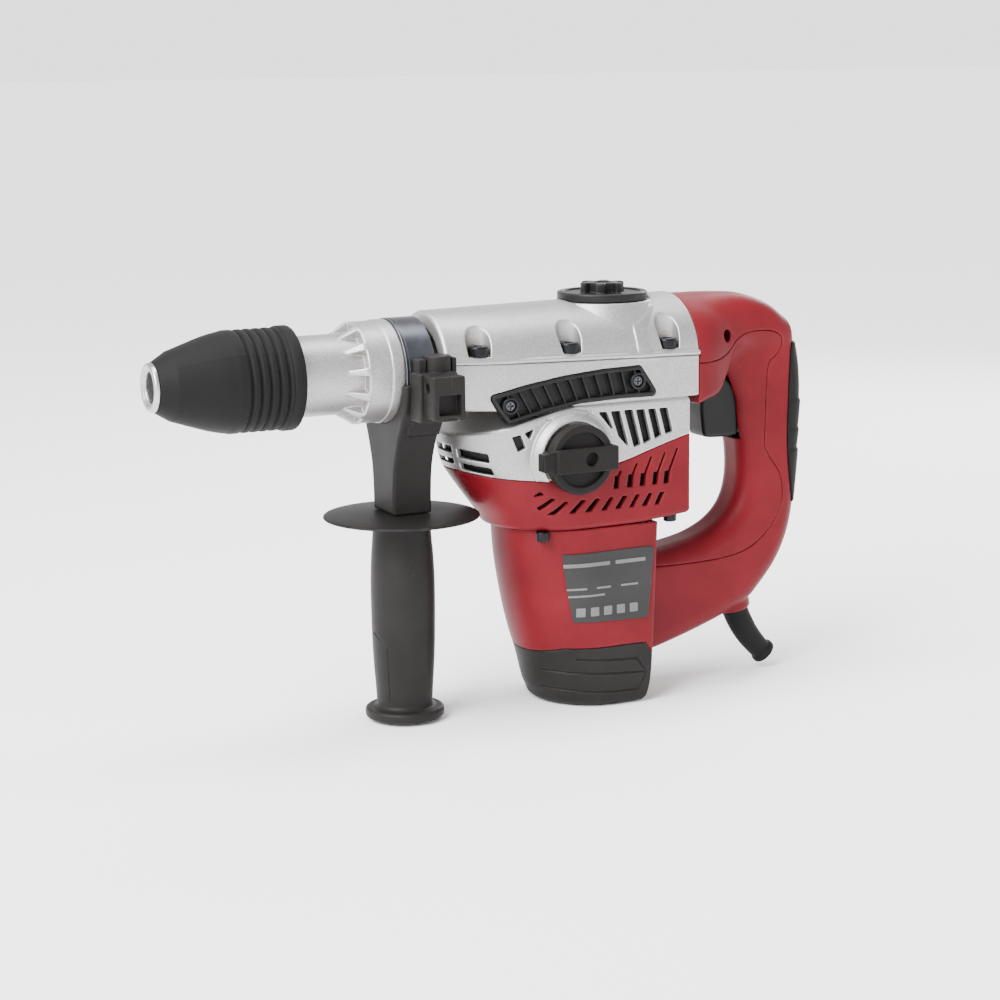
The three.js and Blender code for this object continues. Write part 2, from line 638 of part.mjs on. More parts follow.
function cordGuard() {
  return tilted([[0, 6], [8.7, 6], [8.7, -20], [7.4, -40], [8.8, -42], [8.8, -45], [3.7, -45],
    [3.7, -33], [0, -33]], CORD.tilt);
}

function trigger() {
  const face = smooth([[112, 208], [104.5, 202], [103, 190], [104, 176], [106, 169], [114, 167],
    [124, 168]], 9);
  const side = [...face, [128, 172], [127, 196], [120, 208]];
  const body = prism('y', side, -TRIGGER.half, TRIGGER.half, 2.5);
  return body.subtract(rod('y', 2.4, -40, 40, [TRIGGER.pivotX, TRIGGER.pivotZ], 12));
}

// ---------------------------------------------------------------- fittings

function oilCap() {
  const disc = turned('z', [[0, 257], [25, 257], [25, OIL_CAP.rim], [OIL_CAP.r, OIL_CAP.rim],
    [OIL_CAP.r, 268.6], [28.3, OIL_CAP.top], [0, OIL_CAP.top]], [OIL_CAP.x, 0], 24);
  const lobes = [];
  for (let i = 0; i < 6; i += 1) {
    const angle = Math.PI * i / 3;
    const place = [OIL_CAP.x + 9.2 * Math.cos(angle), 9.2 * Math.sin(angle)];
    lobes.push(rod('z', 5.4, OIL_CAP.top - 1, OIL_CAP.top + 6, place, 10));
  }
  const core = rod('z', 10, OIL_CAP.top - 1, OIL_CAP.top + 6, [OIL_CAP.x, 0], 18);
  return joined([disc, core, ...lobes]).subtract(rod('z', 6, OIL_CAP.top + 2, FAR, [OIL_CAP.x, 0], 6));
}

function modeKnob() {
  const disc = turned('y', [[0, KNOB.face], [KNOB.r - 1, KNOB.face], [KNOB.r, KNOB.face + 1.2],
    [KNOB.r, -51.2], [6.5, -51.2], [6.5, -34], [0, -34]], [KNOB.x, KNOB.z], 24);
  const ends = [[-28, -6], [-26, -7.5], [26, -7.5], [28, -6], [28, 6], [26, 7.5], [-26, 7.5], [-28, 6]];
  const bar = prism('y', ends, KNOB.face - 3, KNOB.face + 2).translate([KNOB.x, 0, KNOB.z]);
  return disc.add(bar);
}

function capScrew(x, y) {
  const [seat, top] = [BODY.split + 3.4, BODY.split + 8];
  return turned('z', [[0, 208], [2, 208], [2, seat], [4.6, seat], [4.6, top], [0, top]], [x, y], 8);
}

function caseBolt(x, y) {
  const seat = x > 0 ? 125.4 : BODY.floor - GAP;
  const [head, end] = [seat - 5.5, seat + 12];
  return turned('z', [[0, head], [4.3, head], [4.3, seat], [2.5, seat], [2.5, end], [0, end]], [x, y], 8);
}

function brushHolder(side) {
  const [near, far] = [side * 15, side * 30];
  const box = block(Math.min(near, far), Math.max(near, far), -5, 5, 32, 44);
  return side > 0 ? box : box.intersect(block(-26, 0, -9, 9, 30, 50));
}

// ---------------------------------------------------------------- assembly

function finish(color, roughness, metalness) {
  return new THREE.MeshStandardMaterial({ color, roughness, metalness });
}
const plastic = (colour) => finish(colour, 0.55, 0);
const metal = (colour) => finish(colour, 0.4, 0.9);
const RED = 0xa81c2e;
const CHARCOAL = 0x3a3634;
const BLACK = 0x1b1a1a;
const CAST = 0xb9b7b4;
const STEEL = 0x8f9094;
const COPPER = 0xb06a3c;
const LAMINATION = 0x6d6d72;

const hammer = new THREE.Group();
hammer.name = 'rotary_hammer';

function add(name, body, material) {
  const mesh = new THREE.Mesh(geometryOf(body), material);
  mesh.name = name;
  hammer.add(mesh);
}

const cases = gearCases();
const handle = handleHalves();
const grille = ventGrille();

add('gear_case', cases.lower, metal(CAST));
add('case_cover', cases.upper, metal(CAST));
add('front_housing', frontHousing(), metal(CAST));
add('mid_sleeve', midSleeve(), plastic(RED));
add('motor_housing', motorHousing(), plastic(RED));
add('motor_cap', motorCap(), plastic(CHARCOAL));
add('rating_plate', ratingPlate(), plastic(CHARCOAL));
add('vent_grille_left', grille, plastic(BLACK));
add('vent_grille_right', mirrorY(grille), plastic(BLACK));
add('handle_housing', handle.housing, plastic(RED));
add('handle_cover', handle.cover, plastic(RED));
add('handle_pad', padShape(0), plastic(CHARCOAL));
add('handle_screw', rod('y', 3.2, -15, 15, HANDLE.screw, 16), metal(STEEL));
add('cord_guard', cordGuard(), plastic(CHARCOAL));
add('switch_module', block(136, 148, -10, 10, 168, 215), plastic(BLACK));
add('oil_cap', oilCap(), plastic(BLACK));

const names = ['front', 'middle', 'rear'];
SCREW_X.forEach((x, i) => {
  add(`case_screw_${names[i]}_left`, capScrew(x, -SCREW_Y), metal(STEEL));
  add(`case_screw_${names[i]}_right`, capScrew(x, SCREW_Y), metal(STEEL));
});
['front_left', 'front_right', 'rear_left', 'rear_right'].forEach((name, i) => {
  add(`sleeve_bolt_${name}`, caseBolt(...BOLTS[i]), metal(STEEL));
});

add('stator', stator(), metal(LAMINATION));
add('armature_shaft', armatureShaft(), metal(STEEL));
add('armature_core', ring('z', 6 + GAP, 23.2, 62, 106, [0, 0]), metal(LAMINATION));
add('commutator', ring('z', 6 + GAP, 13, 28, 48, [0, 0]), metal(COPPER));
add('cooling_fan', coolingFan(), plastic(BLACK));
add('lower_bearing', ring('z', 4 + GAP, 8, 5.5, 13, [0, 0], 20), metal(STEEL));
add('upper_bearing', ring('z', 6 + GAP, 14, 150, 158, [0, 0]), metal(STEEL));
add('brush_holder_front', brushHolder(-1), metal(COPPER));
add('brush_holder_rear', brushHolder(1), metal(COPPER));

const plateHoles = [[0, 14.3], [CRANK_X, 5.4], [INTER_X, 5.4]];
add('gear_plate', bearingPlate(148, 160, 38, -52, 66, plateHoles), metal(CAST));
const bridgeHoles = [[CRANK_X, 8.4], [INTER_X, 5.4]];
add('bearing_bridge', bearingPlate(184, 191, 36, -56, 66, bridgeHoles), metal(CAST));
const crankPhase = Math.PI * (1 + 1 / TEETH.crank);
const crankGear = gear(TEETH.crank, MODULE, 0.8, 1.6, ...GEAR_Z, [CRANK_X, 0], crankPhase, 5 + GAP);
add('crank_gear', crankGear, metal(STEEL));
add('crankshaft', crankshaft(), metal(STEEL));
add('intermediate_shaft', intermediateShaft(), metal(STEEL));
add('connecting_rod', connectingRod(), metal(STEEL));
add('wrist_pin', rod('z', 4, AXIS_Z - 13, AXIS_Z + 13, [WRIST_X, 0], 16), metal(STEEL));
add('piston', piston(), metal(CAST));
add('striker', striker(), metal(STEEL));
add('impact_bolt', impactBolt(), metal(STEEL));
add('cylinder', cylinder(), metal(STEEL));
add('crown_gear', crownGear(), metal(STEEL));
add('tool_holder', toolHolder(), metal(STEEL));
add('nose_ring', noseRing(), metal(STEEL));
add('spindle_rear_bearing', ring('x', CYLINDER_R + FIT, 27.6, -122, -110, ON_AXIS, 32), metal(STEEL));
add('spindle_front_bearing', ring('x', CYLINDER_R + FIT, 22, -186, -170, ON_AXIS, 32), metal(STEEL));
add('chuck_boot', chuckBoot(), plastic(CHARCOAL));
add('release_sleeve', releaseSleeve(), metal(STEEL));

add('mode_knob', modeKnob(), plastic(CHARCOAL));
add('trigger', trigger(), plastic(BLACK));
add('clamp_band', clampBand(), metal(STEEL));
add('handle_bracket', handleBracket(), plastic(CHARCOAL));
add('depth_stop_block', depthStopBlock(), plastic(CHARCOAL));
add('side_grip', sideGrip(), plastic(CHARCOAL));
add('grip_bolt', gripBolt(), metal(STEEL));

export default hammer;
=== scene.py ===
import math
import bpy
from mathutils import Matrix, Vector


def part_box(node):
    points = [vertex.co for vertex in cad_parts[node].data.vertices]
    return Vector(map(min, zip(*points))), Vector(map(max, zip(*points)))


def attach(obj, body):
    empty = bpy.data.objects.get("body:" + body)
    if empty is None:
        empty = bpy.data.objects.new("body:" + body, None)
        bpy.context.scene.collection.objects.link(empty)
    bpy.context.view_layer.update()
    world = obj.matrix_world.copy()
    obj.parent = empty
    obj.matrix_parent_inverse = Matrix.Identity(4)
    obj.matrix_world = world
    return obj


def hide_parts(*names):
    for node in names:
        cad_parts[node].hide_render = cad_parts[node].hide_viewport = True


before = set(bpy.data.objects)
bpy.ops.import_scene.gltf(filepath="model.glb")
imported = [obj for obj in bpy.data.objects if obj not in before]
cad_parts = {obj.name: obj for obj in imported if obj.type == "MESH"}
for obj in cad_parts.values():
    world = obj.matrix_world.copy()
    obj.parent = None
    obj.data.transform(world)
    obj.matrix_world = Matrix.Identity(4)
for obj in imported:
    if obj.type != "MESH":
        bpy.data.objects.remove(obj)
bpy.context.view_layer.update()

# A corded rotary hammer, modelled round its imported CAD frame. Lengths are millimetres in the
# shape functions and metres in Blender. -X is the nose, +X the D-handle, -Y the side with the knob.

from concurrent.futures import ThreadPoolExecutor

import bmesh
import bpy
import numpy as np
from mathutils import Matrix, Vector

MM = 0.001
AXIS = 228.0  # height of the tool axis


# ---------------------------------------------------------------- shape fields
# A field is a function of x, y, z that is below 0 inside a solid and above 0 outside it.

def both(a, b, r=0.0):
    """The part that lies in both solids, with the new edge rounded to radius r."""
    return np.minimum(np.maximum(a, b), -r) + np.hypot(np.maximum(a + r, 0), np.maximum(b + r, 0))


def either(a, b, r=0.0):
    """Two solids joined, with a fillet of radius r between them."""
    return -both(-a, -b, r)


def without(a, b, r=0.0):
    return both(a, -b, r)


def between(v, low, high):
    """A slab from low to high."""
    return np.maximum(low - v, v - high)


def nearest(fields):
    """Several solids put together as they are."""
    best = fields[0]
    for field in fields[1:]:
        best = np.minimum(best, field)
    return best


def cylinder(u, v, centre, radius):
    return np.hypot(u - centre[0], v - centre[1]) - radius


def rounded_box(x, y, z, low, high, r):
    sides = [(v - (a + b) / 2, (b - a) / 2 - r) for v, a, b in zip((x, y, z), low, high)]
    outside = [np.maximum(np.abs(v) - half, 0) for v, half in sides]
    inside = np.maximum(np.maximum(np.abs(sides[0][0]) - sides[0][1], np.abs(sides[1][0]) - sides[1][1]),
                        np.abs(sides[2][0]) - sides[2][1])
    return np.sqrt(outside[0] ** 2 + outside[1] ** 2 + outside[2] ** 2) + np.minimum(inside, 0) - r


def spline(points, per_span=8, closed=False):
    """A smooth line through a few points."""
    p = np.array(points, float)
    if closed:
        p = np.vstack([p[-1], p, p[0], p[1]])
    else:
        p = np.vstack([2 * p[0] - p[1], p, 2 * p[-1] - p[-2]])
    t = np.linspace(0, 1, per_span, endpoint=False)[:, None]
    line = []
    for a, b, c, d in zip(p, p[1:], p[2:], p[3:]):
        line.append(0.5 * (2 * b + (c - a) * t + (2 * a - 5 * b + 4 * c - d) * t ** 2
                           + (3 * b - a - 3 * c + d) * t ** 3))
    line = np.vstack(line)
    return line if closed else np.vstack([line, p[-2]])


def table(points):
    """A smooth function through [input, output] pairs."""
    line = spline(points)
    return lambda v: np.interp(v, line[:, 0], line[:, 1])


def polygon(points, r=0.0):
    """Distance to a closed outline in two coordinates, with its corners rounded to radius r."""
    p = np.array(points, float)
    if r:
        p = inset_outline(p, r)
    q = np.roll(p, -1, axis=0)

    def field(u, v):
        best = None
        inside = None
        for (ax, ay), (bx, by) in zip(p, q):
            ex, ey = bx - ax, by - ay
            wx, wy = u - ax, v - ay
            t = np.clip((wx * ex + wy * ey) / max(ex * ex + ey * ey, 1e-12), 0, 1)
            d = (wx - t * ex) ** 2 + (wy - t * ey) ** 2
            best = d if best is None else np.minimum(best, d)
            if ey != 0:
                crosses = ((ay > v) != (by > v)) & (u < ax + (v - ay) * ex / ey)
                inside = crosses if inside is None else inside ^ crosses
        return np.where(inside, -1, 1) * np.sqrt(best) - r
    return field


def charted(outlines, r=0.0, pitch=0.25, margin=12.0):
    """Distance to the nearest of several outlines, read from a fine chart that is worked out once."""
    fields = [polygon(points, r) for points in outlines]
    every = np.vstack([np.array(points, float) for points in outlines])
    low, high = every.min(0) - margin, every.max(0) + margin
    count = np.ceil((high - low) / pitch).astype(int) + 1
    u = (low[0] + pitch * np.arange(count[0]))[:, None]
    v = (low[1] + pitch * np.arange(count[1]))[None, :]
    chart = fields[0](u, v)
    for field in fields[1:]:
        chart = np.minimum(chart, field(u, v))

    def read(u, v):
        fu = np.clip((u - low[0]) / pitch, 0, count[0] - 1.001)
        fv = np.clip((v - low[1]) / pitch, 0, count[1] - 1.001)
        i, j = fu.astype(np.int32), fv.astype(np.int32)
        a, b = fu - i, fv - j
        return (chart[i, j] * (1 - a) + chart[i + 1, j] * a) * (1 - b) + (
            chart[i, j + 1] * (1 - a) + chart[i + 1, j + 1] * a) * b
    return read


def inset_outline(p, r):
    """The outline moved inwards by r, for corners that are rounded back out by r."""
    area = 0.5 * np.sum(p[:, 0] * np.roll(p[:, 1], -1) - np.roll(p[:, 0], -1) * p[:, 1])
    side = 1 if area > 0 else -1
    before, after = p - np.roll(p, 1, axis=0), np.roll(p, -1, axis=0) - p
    normals = []
    for edge in (before, after):
        n = np.stack([-edge[:, 1], edge[:, 0]], 1) * side
        normals.append(n / np.linalg.norm(n, axis=1, keepdims=True))
    middle = normals[0] + normals[1]
    return p + r * middle * 2 / np.sum(middle * middle, axis=1, keepdims=True)


# ---------------------------------------------------------------- surface of a field

def grid_surface(values, start, step):
    """Surface nets: one vertex in each cell that the surface crosses, one quad on each crossed edge."""
    inside = values < 0
    count = np.zeros(np.array(inside.shape) - 1, np.uint8)
    offsets = [(i, j, k) for i in (0, 1) for j in (0, 1) for k in (0, 1)]
    nx, ny, nz = count.shape
    for i, j, k in offsets:
        count += inside[i:i + nx, j:j + ny, k:k + nz]
    cells = np.argwhere((count > 0) & (count < 8))
    index = np.full(count.shape, -1, np.int64)
    index[tuple(cells.T)] = np.arange(len(cells))
    corner = np.stack([values[cells[:, 0] + i, cells[:, 1] + j, cells[:, 2] + k] for i, j, k in offsets], 1)
    total = np.zeros((len(cells), 3))
    hits = np.zeros(len(cells))
    for a in range(8):
        for b in range(a + 1, 8):
            step_ab = np.subtract(offsets[b], offsets[a])
            if np.abs(step_ab).sum() != 1:
                continue
            crossed = (corner[:, a] < 0) != (corner[:, b] < 0)
            t = corner[crossed, a] / (corner[crossed, a] - corner[crossed, b])
            total[crossed] += np.array(offsets[a]) + t[:, None] * step_ab
            hits[crossed] += 1
    points = start + (cells + total / hits[:, None]) * step
    quads = []
    for axis in range(3):
        u, v = (axis + 1) % 3, (axis + 2) % 3
        low = [slice(1, -1)] * 3
        high = [slice(1, -1)] * 3
        low[axis], high[axis] = slice(0, -1), slice(1, None)
        a, b = inside[tuple(low)], inside[tuple(high)]
        edges = np.argwhere(a != b)
        out = a[tuple(edges.T)]
        base = edges + 1
        base[:, axis] -= 1
        ring = []
        for du, dv in ((-1, -1), (0, -1), (0, 0), (-1, 0)):
            cell = base.copy()
            cell[:, u] += du
            cell[:, v] += dv
            ring.append(index[tuple(cell.T)])
        faces = np.stack(ring, 1)
        quads.append(np.where(out[:, None], faces, faces[:, ::-1]))
    return points, np.vstack(quads)


def settle(field, points, step):
    """Moves the points along the field's slope onto the surface."""
    e = 0.03
    x, y, z = points.T
    here = field(x, y, z)
    slope = (np.stack([field(x + e, y, z), field(x, y + e, z), field(x, y, z + e)], 1) - here[:, None]) / e
    size = np.maximum(np.sum(slope ** 2, axis=1), 0.15)
    for _ in range(2):
        move = np.clip(here / size, -0.5 * step, 0.5 * step)
        points = points - move[:, None] * slope
        here = field(*points.T)
    return points


COARSE = 5  # cells between the samples that show where a surface can be
BLOCK = 30  # cells along each side of the blocks that are sampled in full


def sample(field, start, size, step):
    """Field values on a grid. A block that the surface can't reach only gets a value of the right sign."""
    axes = [start[i] + step * np.arange(size[i]) for i in range(3)]
    wide = [start[i] + step * COARSE * np.arange(size[i] // COARSE + 2) for i in range(3)]
    coarse = field(wide[0][:, None, None], wide[1][None, :, None], wide[2][None, None, :])
    coarse = np.broadcast_to(coarse, [len(w) for w in wide])
    values = np.empty(size, np.float32)
    span = BLOCK // COARSE

    def fill(corner):
        box = tuple(slice(c, c + BLOCK) for c in corner)
        near = coarse[tuple(slice(c // COARSE, c // COARSE + span + 1) for c in corner)]
        if np.abs(near).min() > 1.3 * step * COARSE:
            values[box] = near.flat[0]
            return
        x, y, z = (axes[i][box[i]] for i in range(3))
        values[box] = field(x[:, None, None], y[None, :, None], z[None, None, :])

    corners = [(i, j, k) for i in range(0, size[0], BLOCK) for j in range(0, size[1], BLOCK)
               for k in range(0, size[2], BLOCK)]
    with ThreadPoolExecutor(4) as pool:
        list(pool.map(fill, corners))
    return values


def room(nodes, extra=2.0):
    """The box round some CAD nodes, in millimetres, grown by a margin."""
    boxes = [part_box(node) for node in nodes]
    low = [min(b[0][i] for b in boxes) / MM - extra for i in range(3)]
    high = [max(b[1][i] for b in boxes) / MM + extra for i in range(3)]
    return low, high


def solid(name, field, low, high, step=0.7):
    """A mesh object of the surface of a field, inside a box."""
    start = np.array(low, float) - 2.0 * step
    size = np.ceil((np.array(high, float) + 2.0 * step - start) / step).astype(int) + 1
    points, quads = grid_surface(sample(field, start, size, step), start, step)
    points = settle(field, points, step)
    return mesh_object(name, points, quads)


def placed(name, data):
    """An object of a mesh, light or camera, in the scene."""
    obj = bpy.data.objects.new(name, data)
    bpy.context.scene.collection.objects.link(obj)
    return obj


def mesh_object(name, points, faces):
    mesh = bpy.data.meshes.new(name)
    points = np.asarray(points, np.float32) * MM
    faces = np.asarray(faces, np.int32)
    sides = faces.shape[1]
    mesh.vertices.add(len(points))
    mesh.vertices.foreach_set("co", points.ravel())
    mesh.loops.add(faces.size)
    mesh.loops.foreach_set("vertex_index", faces.ravel())
    mesh.polygons.add(len(faces))
    mesh.polygons.foreach_set("loop_start", np.arange(0, faces.size, sides, dtype=np.int32))
    mesh.update(calc_edges=True)
    mesh.validate()
    mesh.shade_smooth()
    return placed(name, mesh)


# ---------------------------------------------------------------- plain shape helpers

def skin_faces(rows, segments, closed):
    """Quads between the rings of a turned or swept skin."""
    faces = []
    for j in range(rows if closed else rows - 1):
        k = (j + 1) % rows
        for i in range(segments):
            n = (i + 1) % segments
            faces.append((j * segments + i, j * segments + n, k * segments + n, k * segments + i))
    return faces


def turned(name, profile, segments):
    """A closed profile of (radius, place) pairs turned round the tool axis."""
    points = []
    for radius, place in profile:
        for i in range(segments):
            angle = 2 * math.pi * i / segments
            points.append((place, radius * math.cos(angle), AXIS + radius * math.sin(angle)))
    return cleaned(name, points, skin_faces(len(profile), segments, True))


def round_corners(profile, r):
    """Replaces each corner of a closed profile by a short arc."""
    p = [Vector(q) for q in profile]
    line = []
    for before, here, after in zip([p[-1]] + p, p, p[1:] + [p[0]]):
        a, b = before - here, after - here
        reach = min(r, 0.45 * a.length, 0.45 * b.length)
        a, b = here + a.normalized() * reach, here + b.normalized() * reach
        for t in (0.0, 0.25, 0.5, 0.75, 1.0):
            line.append(tuple(a * (1 - t) ** 2 + here * 2 * t * (1 - t) + b * t ** 2))
    return line


WELD = 1e-6  # metres within which two points are one
FLAT_ANGLE = math.radians(35)  # a steeper edge is drawn sharp


def cleaned(name, points, faces):
    """A mesh object with doubles merged, faces pointing out and sharp edges kept sharp."""
    mesh = bpy.data.meshes.new(name)
    mesh.from_pydata([tuple(c * MM for c in p) for p in points], [], faces)
    bm = bmesh.new()
    bm.from_mesh(mesh)
    bmesh.ops.remove_doubles(bm, verts=bm.verts, dist=WELD)
    bmesh.ops.dissolve_degenerate(bm, dist=0.1 * WELD, edges=bm.edges)
    bmesh.ops.recalc_face_normals(bm, faces=bm.faces)
    if bm.calc_volume(signed=True) < 0:
        bmesh.ops.reverse_faces(bm, faces=bm.faces)
    bm.to_mesh(mesh)
    bm.free()
    mesh.shade_smooth()
    mesh.set_sharp_from_angle(angle=FLAT_ANGLE)
    return placed(name, mesh)


def swept(name, path, radii, segments):
    """A round rod along a path of points, with a radius at each, closed at both ends."""
    side = Vector((0, 1, 0))
    points = []
    for i, here in enumerate(path):
        ahead = (path[min(i + 1, len(path) - 1)] - path[max(i - 1, 0)]).normalized()
        up = side.cross(ahead).normalized()
        for k in range(segments):
            angle = 2 * math.pi * k / segments
            points.append(here + radii[i] * (math.cos(angle) * side + math.sin(angle) * up))
    faces = skin_faces(len(path), segments, False)
    faces.append(tuple(range(segments)))
    faces.append(tuple(range((len(path) - 1) * segments, len(path) * segments)))
    return cleaned(name, points, faces)


def piece(obj, body, slot, material, *nodes):
    """Puts a finished piece on its body, in place of CAD nodes."""
    obj.data.materials.clear()
    obj.data.materials.append(material)
    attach(obj, body)
    if nodes:
        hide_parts(*nodes)


def moulded(name, field, step, margin, body, slot, material, node):
    """A piece made from a field inside the box of the CAD node that it takes the place of."""
    piece(solid(name, field, *room([node], margin), step), body, slot, material, node)


# ---------------------------------------------------------------- materials

def new_material(name):
    material = bpy.data.materials.new(name)
    material.use_nodes = True
    tree = material.node_tree
    tree.nodes.clear()
    output = tree.nodes.new("ShaderNodeOutputMaterial")
    shader = tree.nodes.new("ShaderNodeBsdfPrincipled")
    tree.links.new(shader.outputs["BSDF"], output.inputs["Surface"])
    return material, tree, shader


def noise(tree, scale, detail=3.0, roughness=0.55, stretch=(1, 1, 1)):
    """Noise over the object's own space, with a scale in features per metre."""
    place = tree.nodes.new("ShaderNodeTexCoord")
    mapping = tree.nodes.new("ShaderNodeMapping")
    mapping.inputs["Scale"].default_value = stretch
    texture = tree.nodes.new("ShaderNodeTexNoise")
    texture.inputs["Scale"].default_value = scale
    texture.inputs["Detail"].default_value = detail
    texture.inputs["Roughness"].default_value = roughness
    tree.links.new(place.outputs["Object"], mapping.inputs["Vector"])
    tree.links.new(mapping.outputs["Vector"], texture.inputs["Vector"])
    return texture.outputs["Fac"]


def mask(tree, source, low, high):
    """0 where the source is under low, 1 where it is over high, with a straight blend between."""
    node = tree.nodes.new("ShaderNodeValToRGB")
    for element, place, value in zip(node.color_ramp.elements, (low, high), (0, 1)):
        element.position = place
        element.color = (value, value, value, 1)
    tree.links.new(source, node.inputs["Fac"])
    return node.outputs["Color"]


def mixed(tree, factor, a, b):
    node = tree.nodes.new("ShaderNodeMix")
    node.data_type = "RGBA"
    for socket, value in ((node.inputs["Factor"], factor), (node.inputs["A"], a), (node.inputs["B"], b)):
        if isinstance(value, bpy.types.NodeSocket):
            tree.links.new(value, socket)
        else:
            socket.default_value = (*value, 1)
    return node.outputs["Result"]


def shaded(colour, gain, lift=0.0):
    """A colour made darker or lighter."""
    return tuple(min(1, c * gain + lift) for c in colour)


def calc(tree, operation, a, b):
    node = tree.nodes.new("ShaderNodeMath")
    node.operation = operation
    for socket, value in zip(node.inputs, (a, b)):
        if isinstance(value, bpy.types.NodeSocket):
            tree.links.new(value, socket)
        else:
            socket.default_value = value
    return node.outputs[0]


def scaled(tree, source, gain, lift):
    return calc(tree, "ADD", calc(tree, "MULTIPLY", source, gain), lift)


def bump(tree, shader, height, distance, strength):
    node = tree.nodes.new("ShaderNodeBump")
    node.inputs["Distance"].default_value = distance
    node.inputs["Strength"].default_value = strength
    tree.links.new(height, node.inputs["Height"])
    tree.links.new(node.outputs["Normal"], shader.inputs["Normal"])


def edges(tree, low=0.5, high=0.56):
    """White on convex edges, where handling wears a surface."""
    geometry = tree.nodes.new("ShaderNodeNewGeometry")
    return mask(tree, geometry.outputs["Pointiness"], low, high)


def plastic(name, colour, worn, specular, roughness, wear=0.25, grain_size=1500):
    """Moulded plastic with fine spark-eroded grain, faint dust and lighter rubbed edges."""
    material, tree, shader = new_material(name)
    fine = noise(tree, grain_size, 2)
    broad = mask(tree, noise(tree, 26, 4), 0.35, 0.68)
    smudge = noise(tree, 9, 5, 0.65)
    base = mixed(tree, broad, shaded(colour, 0.86), shaded(colour, 1.12, 0.0006))
    patches = calc(tree, "MULTIPLY", mask(tree, noise(tree, 120, 4), 0.4, 0.65), wear)
    amount = calc(tree, "MULTIPLY", edges(tree), patches)
    tree.links.new(mixed(tree, amount, base, worn), shader.inputs["Base Color"])
    gloss = scaled(tree, smudge, 0.22, roughness - 0.11)
    gloss = calc(tree, "ADD", gloss, calc(tree, "MULTIPLY", fine, 0.08))
    tree.links.new(gloss, shader.inputs["Roughness"])
    shader.inputs["Specular IOR Level"].default_value = specular
    bump(tree, shader, fine, 0.00006, 0.9)
    return material


def rubber(name, colour):
    """Soft rubber: matt, slightly dusty, with a fine even grain."""
    material, tree, shader = new_material(name)
    fine = noise(tree, 2600, 2)
    dust = mask(tree, noise(tree, 34, 6, 0.7), 0.42, 0.75)
    shader.inputs["Specular IOR Level"].default_value = 0.11
    dusty = mixed(tree, calc(tree, "MULTIPLY", dust, 0.45), colour, shaded(colour, 0.9, 0.004))
    tree.links.new(dusty, shader.inputs["Base Color"])
    tree.links.new(scaled(tree, dust, 0.14, 0.62), shader.inputs["Roughness"])
    shader.inputs["Sheen Weight"].default_value = 0.02
    shader.inputs["Sheen Roughness"].default_value = 0.5
    bump(tree, shader, fine, 0.00005, 0.8)
    return material


def cast_alloy(name, colour, metallic, roughness):
    """Tumbled die-cast alloy: sparkling specks, a soft mottle and brighter rubbed edges."""
    material, tree, shader = new_material(name)
    speck = noise(tree, 1300, 2, 0.6)
    fleck = noise(tree, 520, 3, 0.6)
    mottle = noise(tree, 18, 5, 0.6)
    base = mixed(tree, mask(tree, speck, 0.38, 0.62), shaded(colour, 0.80), shaded(colour, 1.13))
    for source, low, high, share, gain in ((fleck, 0.6, 0.72, 0.4, 0.62), (mottle, 0.4, 0.7, 0.3, 0.82)):
        amount = calc(tree, "MULTIPLY", mask(tree, source, low, high), share)
        base = mixed(tree, amount, base, shaded(colour, gain))
    bright = calc(tree, "MULTIPLY", edges(tree, 0.505, 0.57), 0.6)
    tree.links.new(mixed(tree, bright, base, (0.62, 0.61, 0.60)), shader.inputs["Base Color"])
    rough = scaled(tree, speck, 0.25, roughness - 0.12)
    rough = calc(tree, "SUBTRACT", rough, calc(tree, "MULTIPLY", bright, 0.15))
    tree.links.new(rough, shader.inputs["Roughness"])
    shader.inputs["Metallic"].default_value = metallic
    bump(tree, shader, calc(tree, "ADD", speck, calc(tree, "MULTIPLY", fleck, 0.7)), 0.00013, 0.9)
    return material


def machined(name, stretch):
    """Turned or ground steel, with fine lines round the axis and a few dull patches."""
    material, tree, shader = new_material(name)
    lines = noise(tree, 2400, 2, 0.5, stretch)
    stain = noise(tree, 60, 5, 0.65)
    base = mixed(tree, mask(tree, stain, 0.38, 0.7), shaded(GROUND_STEEL, 0.72), GROUND_STEEL)
    tree.links.new(base, shader.inputs["Base Color"])
    rough = calc(tree, "ADD", calc(tree, "MULTIPLY", stain, 0.2), scaled(tree, lines, 0.12, 0.16))
    tree.links.new(rough, shader.inputs["Roughness"])
    shader.inputs["Metallic"].default_value = 1.0
    bump(tree, shader, lines, 0.00002, 0.6)
    return material


def blackened(name, colour, wear):
    """Blackened steel with a bluish oily sheen and bright metal at the rubbed edges."""
    material, tree, shader = new_material(name)
    stain = noise(tree, 42, 6, 0.65)
    scratch = noise(tree, 900, 3, 0.6, (0.06, 1, 1))
    base = mixed(tree, mask(tree, stain, 0.35, 0.7), colour, shaded(colour, 1.9))
    bright = calc(tree, "MULTIPLY", edges(tree, 0.52, 0.6), wear)
    tree.links.new(mixed(tree, bright, base, (0.33, 0.33, 0.34)), shader.inputs["Base Color"])
    tree.links.new(scaled(tree, stain, 0.22, 0.24), shader.inputs["Roughness"])
    shader.inputs["Metallic"].default_value = 0.85
    height = calc(tree, "ADD", stain, calc(tree, "MULTIPLY", scratch, 0.3))
    bump(tree, shader, height, 0.00008, 0.7)
    return material


def copper_metal(name):
    material, tree, shader = new_material(name)
    stain = noise(tree, 90, 5)
    tree.links.new(mixed(tree, stain, (0.42, 0.17, 0.08), (0.72, 0.34, 0.19)), shader.inputs["Base Color"])
    tree.links.new(scaled(tree, stain, 0.25, 0.2), shader.inputs["Roughness"])
    shader.inputs["Metallic"].default_value = 1.0
    bump(tree, shader, noise(tree, 1500, 2), 0.00003, 0.5)
    return material


